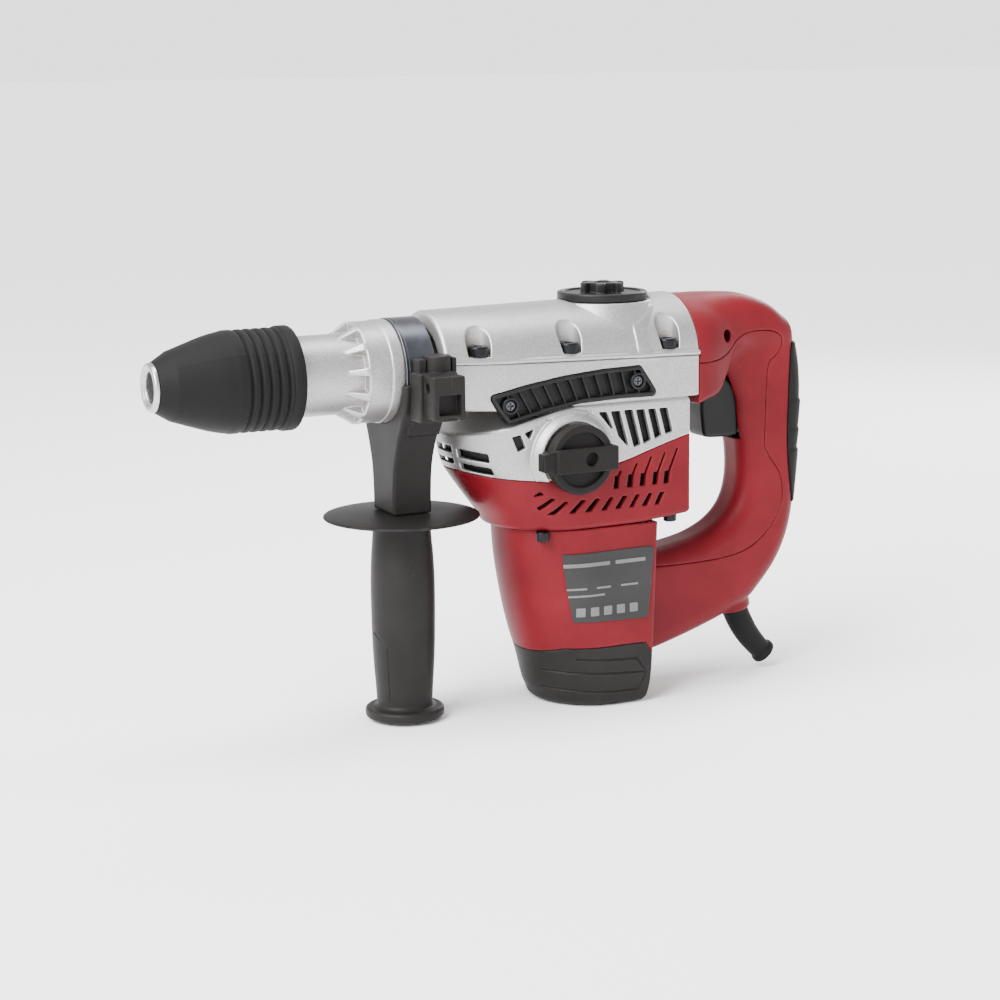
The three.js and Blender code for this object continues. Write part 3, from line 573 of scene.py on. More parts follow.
def laminated(name):
    """Stacked electrical sheet steel, with its fine edges showing as lines along Z."""
    material, tree, shader = new_material(name)
    sheets = noise(tree, 1100, 1, 0.5, (0.01, 0.01, 1))
    tree.links.new(mixed(tree, sheets, (0.10, 0.10, 0.11), (0.36, 0.36, 0.37)), shader.inputs["Base Color"])
    tree.links.new(scaled(tree, sheets, 0.3, 0.3), shader.inputs["Roughness"])
    shader.inputs["Metallic"].default_value = 0.8
    bump(tree, shader, sheets, 0.0001, 0.8)
    return material


GROUND_STEEL = (0.56, 0.56, 0.57)
CAST = cast_alloy("cast_alloy", (0.40, 0.39, 0.385), 0.82, 0.44)
RED = plastic("red_plastic", (0.122, 0.0052, 0.0098), (0.2, 0.034, 0.038), 0.12, 0.40)
DARK = plastic("dark_plastic", (0.0118, 0.0107, 0.0103), (0.045, 0.042, 0.041), 0.12, 0.46)
KNOB_GREY = plastic("knob_plastic", (0.0088, 0.0081, 0.0077), (0.04, 0.038, 0.037), 0.1, 0.44)
BLACK = plastic("black_plastic", (0.005, 0.005, 0.0052), (0.04, 0.04, 0.04), 0.2, 0.38)
RUBBER = rubber("soft_rubber", (0.0062, 0.0058, 0.0057))
PLATE = plastic("plate", (0.022, 0.021, 0.0215), (0.0497, 0.04835, 0.049025), 0.2, 0.5, 0.1, 700)
PRINT = plastic("plate_print", (0.13, 0.127, 0.125), (0.1955, 0.19145, 0.18875), 0.15, 0.5, 0.0)
STEEL = machined("steel", (1, 0.03, 0.03))
STEEL_UPRIGHT = machined("steel_upright", (0.03, 0.03, 1))
BLACK_STEEL = blackened("black_steel", (0.045, 0.047, 0.055), 0.55)
SCREW_BLACK = blackened("screw_black", (0.009, 0.0092, 0.0105), 0.3)
COPPER = copper_metal("copper")
LAMINATION = laminated("lamination")


# ---------------------------------------------------------------- case: outer form

CASE_FRONT, CASE_REAR = -99.0, 80.0
BLOCK_HALF, BLOCK_REAR = 45.7, 72.6
BOLT_LINE = (-76.0, -13.0, 59.0)  # screws that join the two halves of the case
SCREW_DEPTH = {-76.0: 35.0, -13.0: 37.5, 59.0: 38.0}
POCKET_R, POCKET_LIFT = 8.0, 4.8
KNOB_X, KNOB_Z = -15.0, 170.0
CAP_X = 32.0
CAP_SEAT = 264.6
WALL = 3.6
SEAM = 0.18  # half of the gap between two halves of a housing

case_half = table([(-104, 36.2), (-94, 37.4), (-80, 40), (-60, 43), (-20, 44.2), (84, 44.2)])
case_rise = table([(-104, 36.2), (-94, 36.6), (-40, 37.4), (0, 38), (84, 39.4)])
block_front = table([(112, -52), (121.5, -54), (128.7, -57.5), (140, -66), (151.5, -74.5), (163, -82),
                     (174, -85), (186, -86.5), (210, -87)])
block_top = table([(-100, 184), (-86, 186.5), (-62, 191), (-40, 196.4), (-18, 201.2), (4, 202.4),
                   (90, 202.6)])
sleeve_floor = table([(-70, 121.5), (25, 121.8), (50, 123.2), (80, 126.2)])
sleeve_line = table([(-100, 165), (-84, 162.4), (-66.5, 158.8), (-34.5, 155.9), (-8, 158.6), (20.5, 163.4),
                     (41.4, 169.4), (57.6, 174.2), (80, 180)])


def smooth_step(v, low, high):
    t = np.clip((v - low) / (high - low), 0, 1)
    return t * t * (3 - 2 * t)


def barrel_side(x, y, z):
    half, rise = case_half(x), case_rise(x)
    arch = (np.hypot(y / half, (z - AXIS) / rise) - 1) * np.sqrt(half * rise)
    tube = np.hypot(y, z - AXIS) - half
    blend = smooth_step(x, -98, -56)
    return np.where(z >= AXIS, arch, tube * (1 - blend) + (np.abs(y) - half) * blend)


def barrel(x, y, z):
    """The upper half of the case: round at the nose end, arched with upright sides behind."""
    body = both(barrel_side(x, y, z), CASE_FRONT - x, 2.4)
    body = both(body, x - CASE_REAR, 0.9)
    return both(body, 202.6 - z, 1.5)


def block_side(x, y, z):
    centre = block_front(z) + BLOCK_HALF
    return np.where(x < centre, np.hypot(x - centre, y), np.abs(y)) - BLOCK_HALF


def block(x, y, z):
    """The lower half: a round-fronted block that leans back under the barrel."""
    body = both(block_side(x, y, z), x - BLOCK_REAR, 1.2)
    body = both(body, z - block_top(x), 2.6)
    return both(body, sleeve_floor(x) - z, 3.2)


def case_body(x, y, z):
    fillet = 1.0 + 10 * (1 - smooth_step(x, -88, -50))
    return either(barrel(x, y, z), block(x, y, z), fillet)


def case_hollow(x, y, z):
    inner = np.minimum(barrel(x, y, z), both(block(x, y, z), z - 206)) + WALL
    neck = np.hypot(y, z - AXIS) - 27
    return np.minimum(inner, both(neck, x + 90))


def cap_boss(x, y, z):
    """The cone that carries the grease cap, meeting the barrel in a sharp V on each side."""
    cone = (cylinder(x, y, (CAP_X, 0), 31) - 0.44 * (CAP_SEAT - z)) * 0.915
    cone = both(cone, np.abs(y) - 44.9, 1.0)
    return both(both(cone, z - CAP_SEAT, 0.7), 229 - z, 0.8)


def case_outside(x, y, z):
    body = case_body(x, y, z)
    boss = cap_boss(x, y, z)
    rim = np.hypot(np.maximum(body, -2), np.maximum(boss, -2)) - 1.4
    rim = both(rim, CAP_X + 2 - x, 1.0)
    rim = both(rim, z - 262, 1.0)
    above_seat = both(cylinder(x, y, (CAP_X, 0), 30.8), CAP_SEAT - z)
    return without(np.minimum(np.minimum(body, boss), rim), above_seat, 0.4)


def case_seam(x):
    return 232.6 - (x + 74) * 0.0217


def screw_pockets(x, y, z):
    pockets = [cylinder(x, np.abs(y), (place, SCREW_DEPTH[place]), POCKET_R) for place in BOLT_LINE]
    return both(nearest(pockets), case_seam(x) + POCKET_LIFT - z, 0.6)


def seam_bead(x, y, z):
    """Half-round ledge along the joint of the two castings, fading out towards the nose."""
    size = 1.7 * smooth_step(x, -70, -34)
    return np.hypot(case_body(x, y, z) + 0.3, z - case_seam(x) - 1.9) - size + 0.02


def case_cover_field(x, y, z):
    body = either(case_outside(x, y, z), seam_bead(x, y, z), 0.8)
    body = without(body, screw_pockets(x, y, z), 0.7)
    hollow = case_hollow(x, y, z)
    pads = cylinder(x, np.abs(y), (0, 0), 0)
    for place in BOLT_LINE:
        pads = np.minimum(pads, cylinder(x, np.abs(y), (place, SCREW_DEPTH[place]), POCKET_R + 3))
    hollow = without(hollow, both(pads, z - 258), 0.5)
    shell = without(body, hollow, 0.4)
    shell = without(shell, both(cylinder(x, y, (CAP_X, 0), 25.6), 240 - z), 0.4)
    return both(shell, case_seam(x) + SEAM - z, 0.35)


# ---------------------------------------------------------------- case: lower casting and sleeve

GRILLE_LINE = [(-71.4, 212.5), (-66.2, 203.7), (-58.9, 194.3), (-33, 200.3), (-6.8, 204.4), (20, 205.5),
               (49.5, 205.2), (36, 225.1), (8, 224.4), (-19.2, 222), (-46, 218)]
grille_outline = charted([GRILLE_LINE], 2.6)
REAR_VENTS = [
    [(4, 197.4), (10.2, 197), (16.3, 182.8)],
    [(13.3, 197.2), (20, 197.1), (26.7, 172.3), (18.9, 180.7)],
    [(23.1, 197.3), (29.3, 197.1), (35.6, 173.8), (30.4, 172.4)],
    [(31.9, 196.9), (38.2, 196.8), (43.4, 176), (37.7, 174.1)],
    [(40.8, 196.6), (46.5, 196.6), (51.3, 178.5), (46.1, 176.7)],
    [(49.2, 196.7), (55.5, 196.5), (59.6, 180.2), (54, 179.3)],
    [(-56.5, 185.5), (-51.1, 186.9), (-47.7, 178), (-52.7, 175.8)],
    [(-48.6, 187.6), (-42.1, 190.2), (-45.1, 183.2)],
]


case_vent_outlines = charted(REAR_VENTS, 0.6)


def case_vents(x, y, z):
    return both(case_vent_outlines(x, z), 36 - np.abs(y))


FRONT_SLOTS = ((-14, 13.5, 173.5, 178, 0), (19.5, 48.5, 171.2, 176.8, 2.5),
               (-14, 13.5, 166, 169.4, 0), (19.5, 48.5, 162.9, 167.7, 2.7))


def front_vents(x, y, z):
    """Two rows of slots round the front of the block, one in the middle and one on each side."""
    angle = np.degrees(np.arctan2(np.abs(y), block_front(z) + BLOCK_HALF - x))
    slots = []
    for start, end, low, high, fall in FRONT_SLOTS:
        drop = fall * (angle - start) / (end - start)
        slots.append(both(between(angle, start, end) * 0.8, between(z + drop, low, high), 0.9))
    return both(nearest(slots), x + 44)


def bezel(x, y, z):
    """Coned ring round the knob; the lower part is left off where the red sleeve begins."""
    reach = cylinder(x, z, (KNOB_X, KNOB_Z), 0)
    out = -y
    cone = both((reach - 29.2 + (out - 45.6) * 0.88) * 0.75, out - 51.2, 1.3)
    cone = either(both(cone, 23.2 - reach, 0.5), both(reach - 29.6, out - 46.4), 0.5)
    return both(cone, 30 - out)


ARROW_R = 31.0


def turn_arrow(x, y, z):
    """A shallow engraved double arrow over the knob."""
    u, v = x - KNOB_X, z - KNOB_Z
    reach = np.hypot(u, v)
    angle = np.degrees(np.arctan2(u, v))
    arc = both(np.abs(reach - ARROW_R) - 0.5, (np.abs(angle + 4) - 31) * 0.5)
    parts = [arc]
    for tip, way in ((-36, 1), (28, -1)):
        along = (angle - tip) * way * 0.54
        parts.append(both(np.abs(np.abs(reach - ARROW_R) - 0.62 * along) - 0.5, np.abs(along - 1.6) - 1.9))
    return both(both(nearest(parts), 44.9 + y), y + 30)


def gear_case_field(x, y, z):
    body = case_outside(x, y, z)
    ring = both(np.hypot(y, z - AXIS) - 34.5, between(x, -103.6, -100.4), 0.8)
    neck = both(np.hypot(y, z - AXIS) - 33.2, between(x, -103, -95))
    body = np.minimum(body, np.minimum(ring, neck))
    body = both(body, sleeve_line(x) + SEAM - z, 0.5)
    body = either(body, both(bezel(x, y, z), sleeve_line(x) + SEAM - z, 0.4), 0.6)
    body = without(body, screw_pockets(x, y, z), 0.7)
    body = without(body, front_vents(x, y, z), 0.5)
    body = without(body, case_vents(x, y, z), 0.5)
    window = both(grille_outline(x, z) - 0.35, 34 - np.abs(y))
    body = without(body, window, 0.5)
    body = without(body, turn_arrow(x, y, z), 0.1)
    shell = without(body, case_hollow(x, y, z), 0.4)
    shaft = both(cylinder(x, z, (KNOB_X, KNOB_Z), 7), y + 20)
    shell = without(shell, np.minimum(shaft, both(np.hypot(y, z - AXIS) - 25.4, x + 80)), 0.3)
    return shell


def side_gear_case(x, y, z):
    return both(gear_case_field(x, y, z), z - case_seam(x) + SEAM, 0.35)


SLEEVE_SLOTS = [[(-41.9, 145.7), (-37.9, 148.9), (-33.9, 146.7)],
                [(-38.5, 138.1), (-30.3, 143.9), (-26.6, 143.3), (-36.3, 136)]]
LOWER_SLOTS = ((-31.9, -26.4, -20.7, -17.2), (-17.7, -12.6, -8.5, -4.9), (-5.9, -0.8, 1.8, 5.4),
               (5.9, 10.1, 12.7, 15.3), (16.3, 20.5, 22, 25.7), (26.7, 30.4, 32, 35.1),
               (36.2, 40.4, 41.4, 44.6), (45.7, 49.4, 49.9, 53.6))
UPPER_SLOTS = ((15.3, 18.9, 158.1), (25.2, 29.4, 161.8), (34.6, 38.8, 165.1), (44.1, 48.3, 167.1),
               (52.5, 56.8, 169.2))


def sleeve_slot_outlines():
    outlines = list(SLEEVE_SLOTS)
    for foot_a, foot_b, head_a, head_b in LOWER_SLOTS:
        outlines.append([(foot_a, 133), (foot_b, 133), (head_b, 141), (head_a, 141)])
    for foot_a, foot_b, tip in UPPER_SLOTS:
        top = foot_b + 0.4 * (tip - 154.8)
        outlines.append([(foot_a, 146.5), (foot_b, 146.5), (foot_b + 1, 154.8), (top + 1.2, tip),
                         (top - 0.2, tip), (foot_b - 0.7, 154.8), (foot_a + 1, 154.8)])
    return charted(outlines, 0.25, 0.2)


sleeve_slot_chart = sleeve_slot_outlines()


def sleeve_slots(x, y, z):
    return both(sleeve_slot_chart(x, z), 24 - np.abs(y))


SLEEVE_POSTS = ((-33, 38), (62, 37.5))  # posts for the four upright bolts


def mid_sleeve_field(x, y, z):
    body = both(block(x, y, z), z - sleeve_line(x) + SEAM, 0.5)
    inner = both(block(x, y, z) + WALL, 126 + 0 * x - z)
    shell = without(body, inner, 0.4)
    for place in SLEEVE_POSTS:
        post = both(cylinder(x, np.abs(y), place, 5.6), both(z - 140, block(x, y, z) + 0.5))
        shell = np.minimum(shell, post)
    shell = without(shell, cylinder(x, y, (0, 0), 36.5), 0.4)
    shell = without(shell, sleeve_slots(x, y, z), 0.45)
    return shell


def vent_shade_sheet_field(x, y, z):
    """Black sheet that runs round the inside of the vented part of the case, open at the rear: painted
    shade, a dark wall that stands in for the shade inside the vents.
    """
    wall = between(block_side(x, y, z), -6.6, -4.9)
    wall = both(wall, both(between(z, 131, 199.4), x - 66), 0.2)
    wall = both(wall, z - block_top(x) + 4.4, 0.2)
    return without(wall, cylinder(x, z, (KNOB_X, KNOB_Z), 8.5))


GRILLE_SCREWS = ((-57.4, 205.6), (34.2, 215.3))
RIB_PITCH = 9.3


def grille_field(x, y, z):
    """Black vent insert: a raised rim, slanting ribs over a deep recess, and two screw bosses."""
    outline = grille_outline(x, z)
    level = barrel_side(x, y, z)
    plate = both(outline, level - 1.3, 0.9)
    plate = both(plate, -level - 6.5)
    recess = both(outline + 2.3, -level - 3.4, 0.5)
    lean = 0.62 - 0.40 * smooth_step(x, -70, 45)
    u = x + lean * (z - 211)
    ribs = np.abs(np.mod(u + 0.5 * RIB_PITCH + 3, RIB_PITCH) - 0.5 * RIB_PITCH) - 0.62
    ribs = both(ribs, level - 0.3, 0.35)
    bosses = [both(cylinder(x, z, place, 5.6), level - 0.9, 0.6) for place in GRILLE_SCREWS]
    wells = [both(cylinder(x, z, place, 4.0), -level - 1.6) for place in GRILLE_SCREWS]
    plate = without(plate, without(recess, nearest([ribs] + bosses)), 0.3)
    return without(plate, nearest(wells), 0.4)


# ---------------------------------------------------------------- motor

motor_front = table([(-6, -19), (0, -20.5), (6.4, -22.4), (13.7, -25.3), (31, -29.6), (49, -35.3),
                     (70, -40.3),
                     (97.5, -45), (126, -47.3)])
motor_rear = table([(-6, 40.5), (0, 42), (12, 44.6), (32, 46), (80, 48.2), (121, 49.8), (130, 50)])
motor_half = table([(-6, 38.5), (0, 40.2), (6, 42), (16, 43.4), (31, 44), (60, 44), (130, 44)])
cap_line = table([(-60, 31), (-46, 31.4), (-37.5, 34.6), (-24, 38.6), (-11.7, 41.4), (14, 41.6),
                  (37, 40.8)])


def motor_body(x, y, z):
    half = motor_half(z)
    centre = motor_front(z) + half
    front = np.hypot(x - centre, y) - half
    side = np.where(x < centre, front, np.abs(y) - half)
    return both(side, x - motor_rear(z), 2.2)


def cap_top(x):
    """Height of the joint between motor housing and cap: a long rise, a flat and a drop at the rear."""
    return np.minimum(cap_line(x), 41.0 - np.maximum(x - 40.4, 0) * 1.62)


def motor_housing_field(x, y, z):
    body = motor_body(x, y, z)
    shell = without(body, body + 3.0, 0.3)
    shell = both(shell, z - 121.1, 0.4)
    return both(shell, cap_top(x) + SEAM - z, 0.5)


CAP_GROOVES = [[(-28.5, 26), (-26.5, 17), (-23.5, 12.6), (4, 10.4), (35.6, 9.4)],
               [(33.5, 31), (41.2, 20.4), (36, 9.6)],
               [(-23.5, 24.8), (10, 23), (40, 21)],
               [(-8, 33.4), (34, 30.8)]]


def strips(lines, half):
    """Thin outlines that follow some lines of points."""
    outlines = []
    for line in lines:
        for a, b in zip(line, line[1:]):
            along = np.subtract(b, a) / np.linalg.norm(np.subtract(b, a)) * half
            side = np.array([-along[1], along[0]])
            ends = np.array(a) - along, np.array(b) + along
            outlines.append([ends[0] - side, ends[1] - side, ends[1] + side, ends[0] + side])
    return outlines


cap_grooves = charted(strips(CAP_GROOVES, 0.55), 0, 0.2)


def motor_cap_field(x, y, z):
    skin = motor_body(x, y, z)
    body = both(skin, -z, 4.5)
    hollow = both(skin + 3.0, 3.4 - z)
    panel = both(both(cap_grooves(x, z), -skin - 0.8), 15 - np.abs(y))
    body = without(body, panel, 0.3)
    slot_angle = np.mod(np.degrees(np.arctan2(y, x - 8)), 30.0) - 15.0
    ring = both(between(np.hypot(x - 8, y), 14, 27), np.abs(np.radians(slot_angle)) * 20 - 1.6, 0.5)
    body = without(body, both(ring, z - 4), 0.4)
    shell = without(body, hollow, 0.3)
    seat = both(between(np.hypot(x, y), 8.3, 12), between(z, 2, 14))
    return both(np.minimum(shell, seat), z - cap_top(x) + SEAM, 0.5)


plate_outline = polygon([(-25.6, 105.2), (-18.6, 59.4), (41.8, 57.7), (46.3, 105.8)], 3.2)


def rating_plate_field(x, y, z):
    face = motor_body(x, y, z)
    return both(both(plate_outline(x, z), face - 0.75, 0.3), both(0.2 - face, y + 15))


def bar(x0, x1, z0, z1):
    return [(x0, z0), (x1, z0), (x1, z1), (x0, z1)]


PLATE_BARS = ([bar(-20.5, 13, 96.2, 98.8), bar(17, 39.5, 96.2, 98.8), bar(-17.3, -3.8, 81, 82.4),
               bar(3, 13.7, 81, 82.4), bar(20.9, 34, 81, 82.4), bar(-17, 9.2, 76.2, 77.6)]
              + [bar(-20.4 + 9.6 * i, -14.4 + 9.6 * i, 63, 69) for i in range(6)])
plate_bars = charted(PLATE_BARS, 0.5, 0.2)


def plate_bars_field(x, y, z):
    """Plain printed bars and squares on the plate, where its figures would be."""
    face = motor_body(x, y, z)
    return both(both(plate_bars(x, z), between(face, 0.6, 1.0)), y + 15)


# ---------------------------------------------------------------- nose

TUBE_R, FLANGE_R, COLLAR_R = 25.4, 32.2, 31.6
CONE = (-160.5, -149.5)
FLANGE_RIBS = 12


def front_housing_field(x, y, z):
    """Smooth tube, twelve gussets up to a flange, a plain collar behind for the side handle."""
    reach = np.hypot(y, z - AXIS)
    tube = both(reach - TUBE_R, between(x, -189.7, -140), 0.8)
    flange = both(reach - FLANGE_R, between(x, -148.6, -132.4), 0.9)
    step = both(reach - FLANGE_R - 0.6, between(x, -133.0, -125.0), 0.7)
    collar = both(reach - COLLAR_R, between(x, -126, -104.3), 0.4)
    angle = np.mod(np.degrees(np.arctan2(y, z - AXIS)) + 7.0, 360.0 / FLANGE_RIBS) - 180.0 / FLANGE_RIBS
    slope = (FLANGE_R - TUBE_R) / (CONE[1] - CONE[0])
    cone = (reach - TUBE_R - (x - CONE[0]) * slope) * 0.85
    sides = np.abs(np.radians(angle)) * reach - 1.2 - 0.12 * (x - CONE[0])
    gusset = both(both(cone, between(x, CONE[0] - 2, -147)), sides, 0.5)
    gusset = both(gusset, reach - FLANGE_R, 0.5)
    body = either(tube, flange, 0.6)
    body = either(body, gusset, 0.7)
    body = np.minimum(np.minimum(body, step), collar)
    bore = both(reach - 22.4, x + 150)
    return without(body, np.minimum(bore, both(reach - 28, -141 - x)), 0.4)


def boot_radius(x):
    """Outside of the rubber boot: a chamfer, a long swelling cone, five grooves and a flange."""
    swell = np.interp(x, *np.array(spline([(-277.9, 15.4), (-276.9, 16.2), (-268.6, 21.3)])).T)
    cone = np.interp(x, *np.array(spline([(-268.4, 21.5), (-256, 25.6), (-244, 29.4), (-234, 31.5),
                                          (-228, 32.1), (-190, 32.2)])).T)
    return np.where(x < -268.5, swell, cone)


GROOVES = (-225.0, -219.0, -213.0, -207.0, -201.0)


def chuck_boot():
    places = np.concatenate([np.linspace(-277.9, -268.7, 12), np.linspace(-268.3, -229, 40),
                             np.linspace(-228.7, -197.9, 120), [-197.4, -196.8, -191.2, -190.4, -190.0]])
    profile = []
    for place in places:
        radius = float(boot_radius(np.array(place)))
        for groove in GROOVES:
            radius -= 1.9 * math.exp(-((place - groove) / 1.0) ** 2)
            radius -= 0.25 * math.exp(-((place - groove) / 2.6) ** 2)
        if place > -198.0:
            radius = {-197.4: 32.4, -196.8: 32.8, -191.2: 32.8, -190.4: 32.5}.get(round(float(place), 1),
                                                                                  31.9)
        profile.append((radius, float(place)))
    profile += [(29.4, -190.0), (28.4, -226), (24.5, -246), (16.8, -268), (14.2, -271), (14.2, -277.9)]
    obj = turned("chuck_boot_skin", profile, 192)
    flash = math.radians(52)
    for vertex in obj.data.vertices:
        u, v = vertex.co.y, vertex.co.z - AXIS * MM
        if vertex.co.x < -0.199 and abs(math.atan2(-u, v) - flash) < 0.02 and math.hypot(u, v) > 0.0153:
            scale = 1 + 0.00022 / math.hypot(u, v)
            vertex.co.y, vertex.co.z = u * scale, AXIS * MM + v * scale
    return obj


NOSE_RING = [(9.8, -278.2), (15.3, -278.2), (15.4, -279.4), (14.9, -280.8), (13.6, -281.5), (12.0, -281.2),
             (11.0, -280.2), (9.8, -279.4)]


def band_field(x, y, z):
    """Steel strap over the collar, with a raised tension bead at its front edge."""
    reach = np.hypot(y, z - AXIS)
    upright = np.where(z > AXIS, reach, np.abs(y))
    strap = both(upright - 33.3, -(upright - 31.9), 0.3)
    strap = both(strap, between(x, -124.3, -104.3), 0.35)
    groove = np.hypot(x + 122.4, upright - 33.5) - 0.5
    return both(without(strap, groove, 0.2), 205 - z)


# ---------------------------------------------------------------- side handle

GRIP_X = -115.0
BLOCK_LOW, BLOCK_HIGH = (-121, -65, 203.5), (-99, -36, 230.5)
ROD_Y, ROD_Z = -56.0, 223.0
LEVER = (-108, -43)

bracket_half = table([(132, 16.4), (150, 16.6), (166, 18.2), (180, 22.6), (190, 27), (200, 32.4),
                      (210, 36.6),
                      (218, 38.2), (232, 38.6)])


bracket_arch = polygon([(-122.5, 189), (-122.5, 195), (-119, 201.5), (-113, 202.5), (-97, 197.5),
                        (-97, 189)], 1.5)


def bracket_field(x, y, z):
    """Upright moulding that flares into a yoke round the collar."""
    rear = np.interp(z, (130, 175, 205), (-100.8, -100.8, -99.8))
    body = both((np.abs(y) - bracket_half(z)) * 0.93, between(z, 136.9, 222.5), 1.2)
    body = both(body, both(-127.6 - x, x - rear), 2.0)
    reach = np.hypot(y, z - AXIS)
    saddle = np.where(z > 204, 33.7, 31.9)
    seats = np.minimum(reach - saddle, both(reach - 33.1, x + 124.6))
    seats = np.minimum(seats, both(reach - 37.2, -104.2 - x))
    body = without(body, seats, 0.35)
    arch = both(bracket_arch(x, z), both(np.abs(y) - bracket_half(z) - 1.3, 10 - np.abs(y)), 0.6)
    return either(body, both(arch, x - rear), 0.4)


def stop_block_field(x, y, z):
    """Clamp block for the depth rod: a hole through it, a square recess and a lever tab on top."""
    body = rounded_box(x, y, z, BLOCK_LOW, BLOCK_HIGH, 1.3)
    cheek = rounded_box(x, y, z, (-124, -52, 200.5), (-98, -36, 231.5), 1.3)
    body = np.minimum(body, cheek)
    recess = rounded_box(x, y, z, (-117, -72, 206.5), (-102, -58.5, 219), 0.7)
    body = without(body, recess, 0.5)
    foot = both(cylinder(x, z, (-108, 196.5), 8.6), y + 52)
    body = without(body, foot, 0.4)
    line = both(both(np.abs(x + 109.5) - 0.3, np.abs(y + 65) - 0.6), 219.5 - z)
    body = without(body, line, 0.2)
    body = without(body, np.hypot(y, z - AXIS) - 38.9, 0.4)
    lever = both(cylinder(x, y, LEVER, 8.4), between(z, 229, 241.5), 0.9)
    cheeks = rounded_box(x, y, z, (-122, -46, 229), (-96, -37.2, 239.6), 0.8)
    cheeks = without(cheeks, both(cylinder(x, y, LEVER, 9.1), 228 - z), 0.3)
    top = without(np.minimum(lever, cheeks), np.hypot(y, z - AXIS) - 36.5, 0.3)
    body = np.minimum(body, top)
    return without(body, cylinder(y, z, (ROD_Y, ROD_Z), 3.3), 0.5)


def side_grip_field(x, y, z):
    """Slim grip with a thin guard disc, a flared foot and a long sunken panel on each side."""
    u = x - GRIP_X
    reach = np.hypot(u, y)
    radius = grip_radius(z)
    body = both((reach - radius) * 0.95, between(z, 1.5, 134.5), 1.2)
    foot = both(reach - 25.6, between(z, 1.5, 8.2), 2.2)
    body = either(body, foot, 3.2)
    lens = 1.55 * np.sqrt(np.clip(1 - (reach / 50.6) ** 2, 0, 1)) + 0.45
    disc = both(both(np.abs(z - 134.9 + 0.0005 * reach ** 2) - lens, reach - 50.4, 0.7), z - 136.6, 0.2)
    body = either(body, disc, 2.2)
    turn = np.degrees(np.arctan2(np.abs(y), u))
    seam = both(np.abs(np.radians(turn - 145)) * reach - 0.4, between(z, 13, 50.5))
    top = both(np.abs(z - 50.5 - (turn - 145) * 0.245) - 0.4, 145 - turn)
    body = without(body, both(np.minimum(seam, top), radius - 0.6 - reach), 0.25)
    return without(body, both(reach - 4.6, 64 - z), 0.4)


grip_radius = table([(-4, 18), (14, 18.2), (34, 19.5), (54, 20.4), (87, 20.8), (107, 20.1), (123, 18.9),
                     (140, 18.6)])


# ---------------------------------------------------------------- rear handle

HANDLE_OUTER = spline([(72, 265.6), (107, 264.9), (134.6, 262.4), (152, 257), (164, 249), (172, 238),
                       (176.6, 224),
                       (179.6, 207), (180.4, 186), (179, 151), (176, 117), (170.6, 95.2), (161.5, 77),
                       (147, 59.8),
                       (137, 51.6), (112.4, 40.6), (72.7, 28.2), (44, 22.0)], 6)
HANDLE_INNER = spline([(44, 93.4), (68, 95.2), (84, 97.5), (101, 101.6), (117, 109.6), (127.5, 121.5),
                       (132, 138),
                       (131.6, 158), (128, 176), (125, 196), (112, 214), (72, 214)], 6)
SEAM_LINE = [(40, 84.8), (96, 84.6), (124, 87), (140, 93), (152, 103), (160, 115), (162.4, 127), (160, 140),
             (152, 151.5), (147.6, 160), (148, 177.5), (149, 205), (150.5, 216.5), (156, 221.5), (160, 227),
             (159, 234), (152.5, 238), (142, 239.2), (130, 238.6), (120, 235), (112, 229.6), (104, 225.8),
             (94, 224), (74, 223.4), (40, 223.4)]
SEAM_CURVE = np.vstack([spline(SEAM_LINE[:9], 4), spline(SEAM_LINE[9:], 4)])
handle_outline = charted([np.vstack([HANDLE_OUTER, HANDLE_INNER])], 0, 0.4)
seam_outline = charted([SEAM_CURVE], 0, 0.4)
mouth_half = table([(76, 43.9), (84, 43.4), (90, 42.2), (96, 40.2), (102, 37.4), (108, 34), (116, 29.4),
                    (126, 24.8), (138, 20.6), (150, 18), (166, 16.4)])
mouth_floor = table([(70, 195), (80, 196.2), (89, 199), (97, 201), (102.5, 204.6), (108, 213), (113, 221.5),
                     (118, 228), (125, 233.5), (136, 237), (152, 239), (168, 239)])
handle_top = table([(70, 265.6), (107, 264.9), (120, 264), (134.6, 262.4), (152, 257), (164, 249)])
pad_edge = table([(110, 173.6), (120.6, 171.4), (140, 168), (161.5, 166.2), (189, 166.6), (210, 167.4),
                  (227.5, 169.4), (240, 176.5)])
HANDLE_SCREW = (109.7, 238.4)
TRIGGER_PIN = (112, 205)
CORD_EXIT = (133.5, 0.0, 47.5)
CORD_TILT = math.radians(24)
BOSS_TILT = math.radians(11)


def handle_bar(x, y, z):
    half = np.interp(z, (20, 100, 130, 210, 240), (20.5, 19.5, 18.6, 18.6, 19.2))
    sunk = 6.0 * (1 - smooth_step(x, 92, 138)) * smooth_step(z, 212, 236)
    return both(handle_outline(x, z) + sunk, (np.abs(y) - half), 13.5)


def handle_mouth(x, y, z):
    half, rise = mouth_half(x), handle_top(x) - AXIS - 6.5 * smooth_step(x, 100, 150)
    arch = (np.hypot(y / half, (z - AXIS) / rise) - 1) * np.sqrt(half * rise)
    side = np.where(z >= AXIS, arch, np.abs(y) - half) * 0.82
    body = both(side, (mouth_floor(x) - z) * 0.6, 2.4)
    return both(body, between(x, CASE_REAR + 0.5, 168), 0.6)


def cord_boss(x, y, z):
    u, w = x - CORD_EXIT[0], z - CORD_EXIT[2]
    along = -math.sin(BOSS_TILT) * u + math.cos(BOSS_TILT) * w
    across = math.cos(BOSS_TILT) * u + math.sin(BOSS_TILT) * w
    return both(np.hypot(across, y) - 12.6, between(along, -3.2, 16), 2.2)


def handle_outside(x, y, z):
    body = either(handle_bar(x, y, z), handle_mouth(x, y, z), 9.0)
    front = np.where(z > 150, CASE_REAR + 0.5 - x, motor_rear(z) + 0.4 - x)
    body = both(body, front, 0.5)
    return either(body, cord_boss(x, y, z), 1.4)


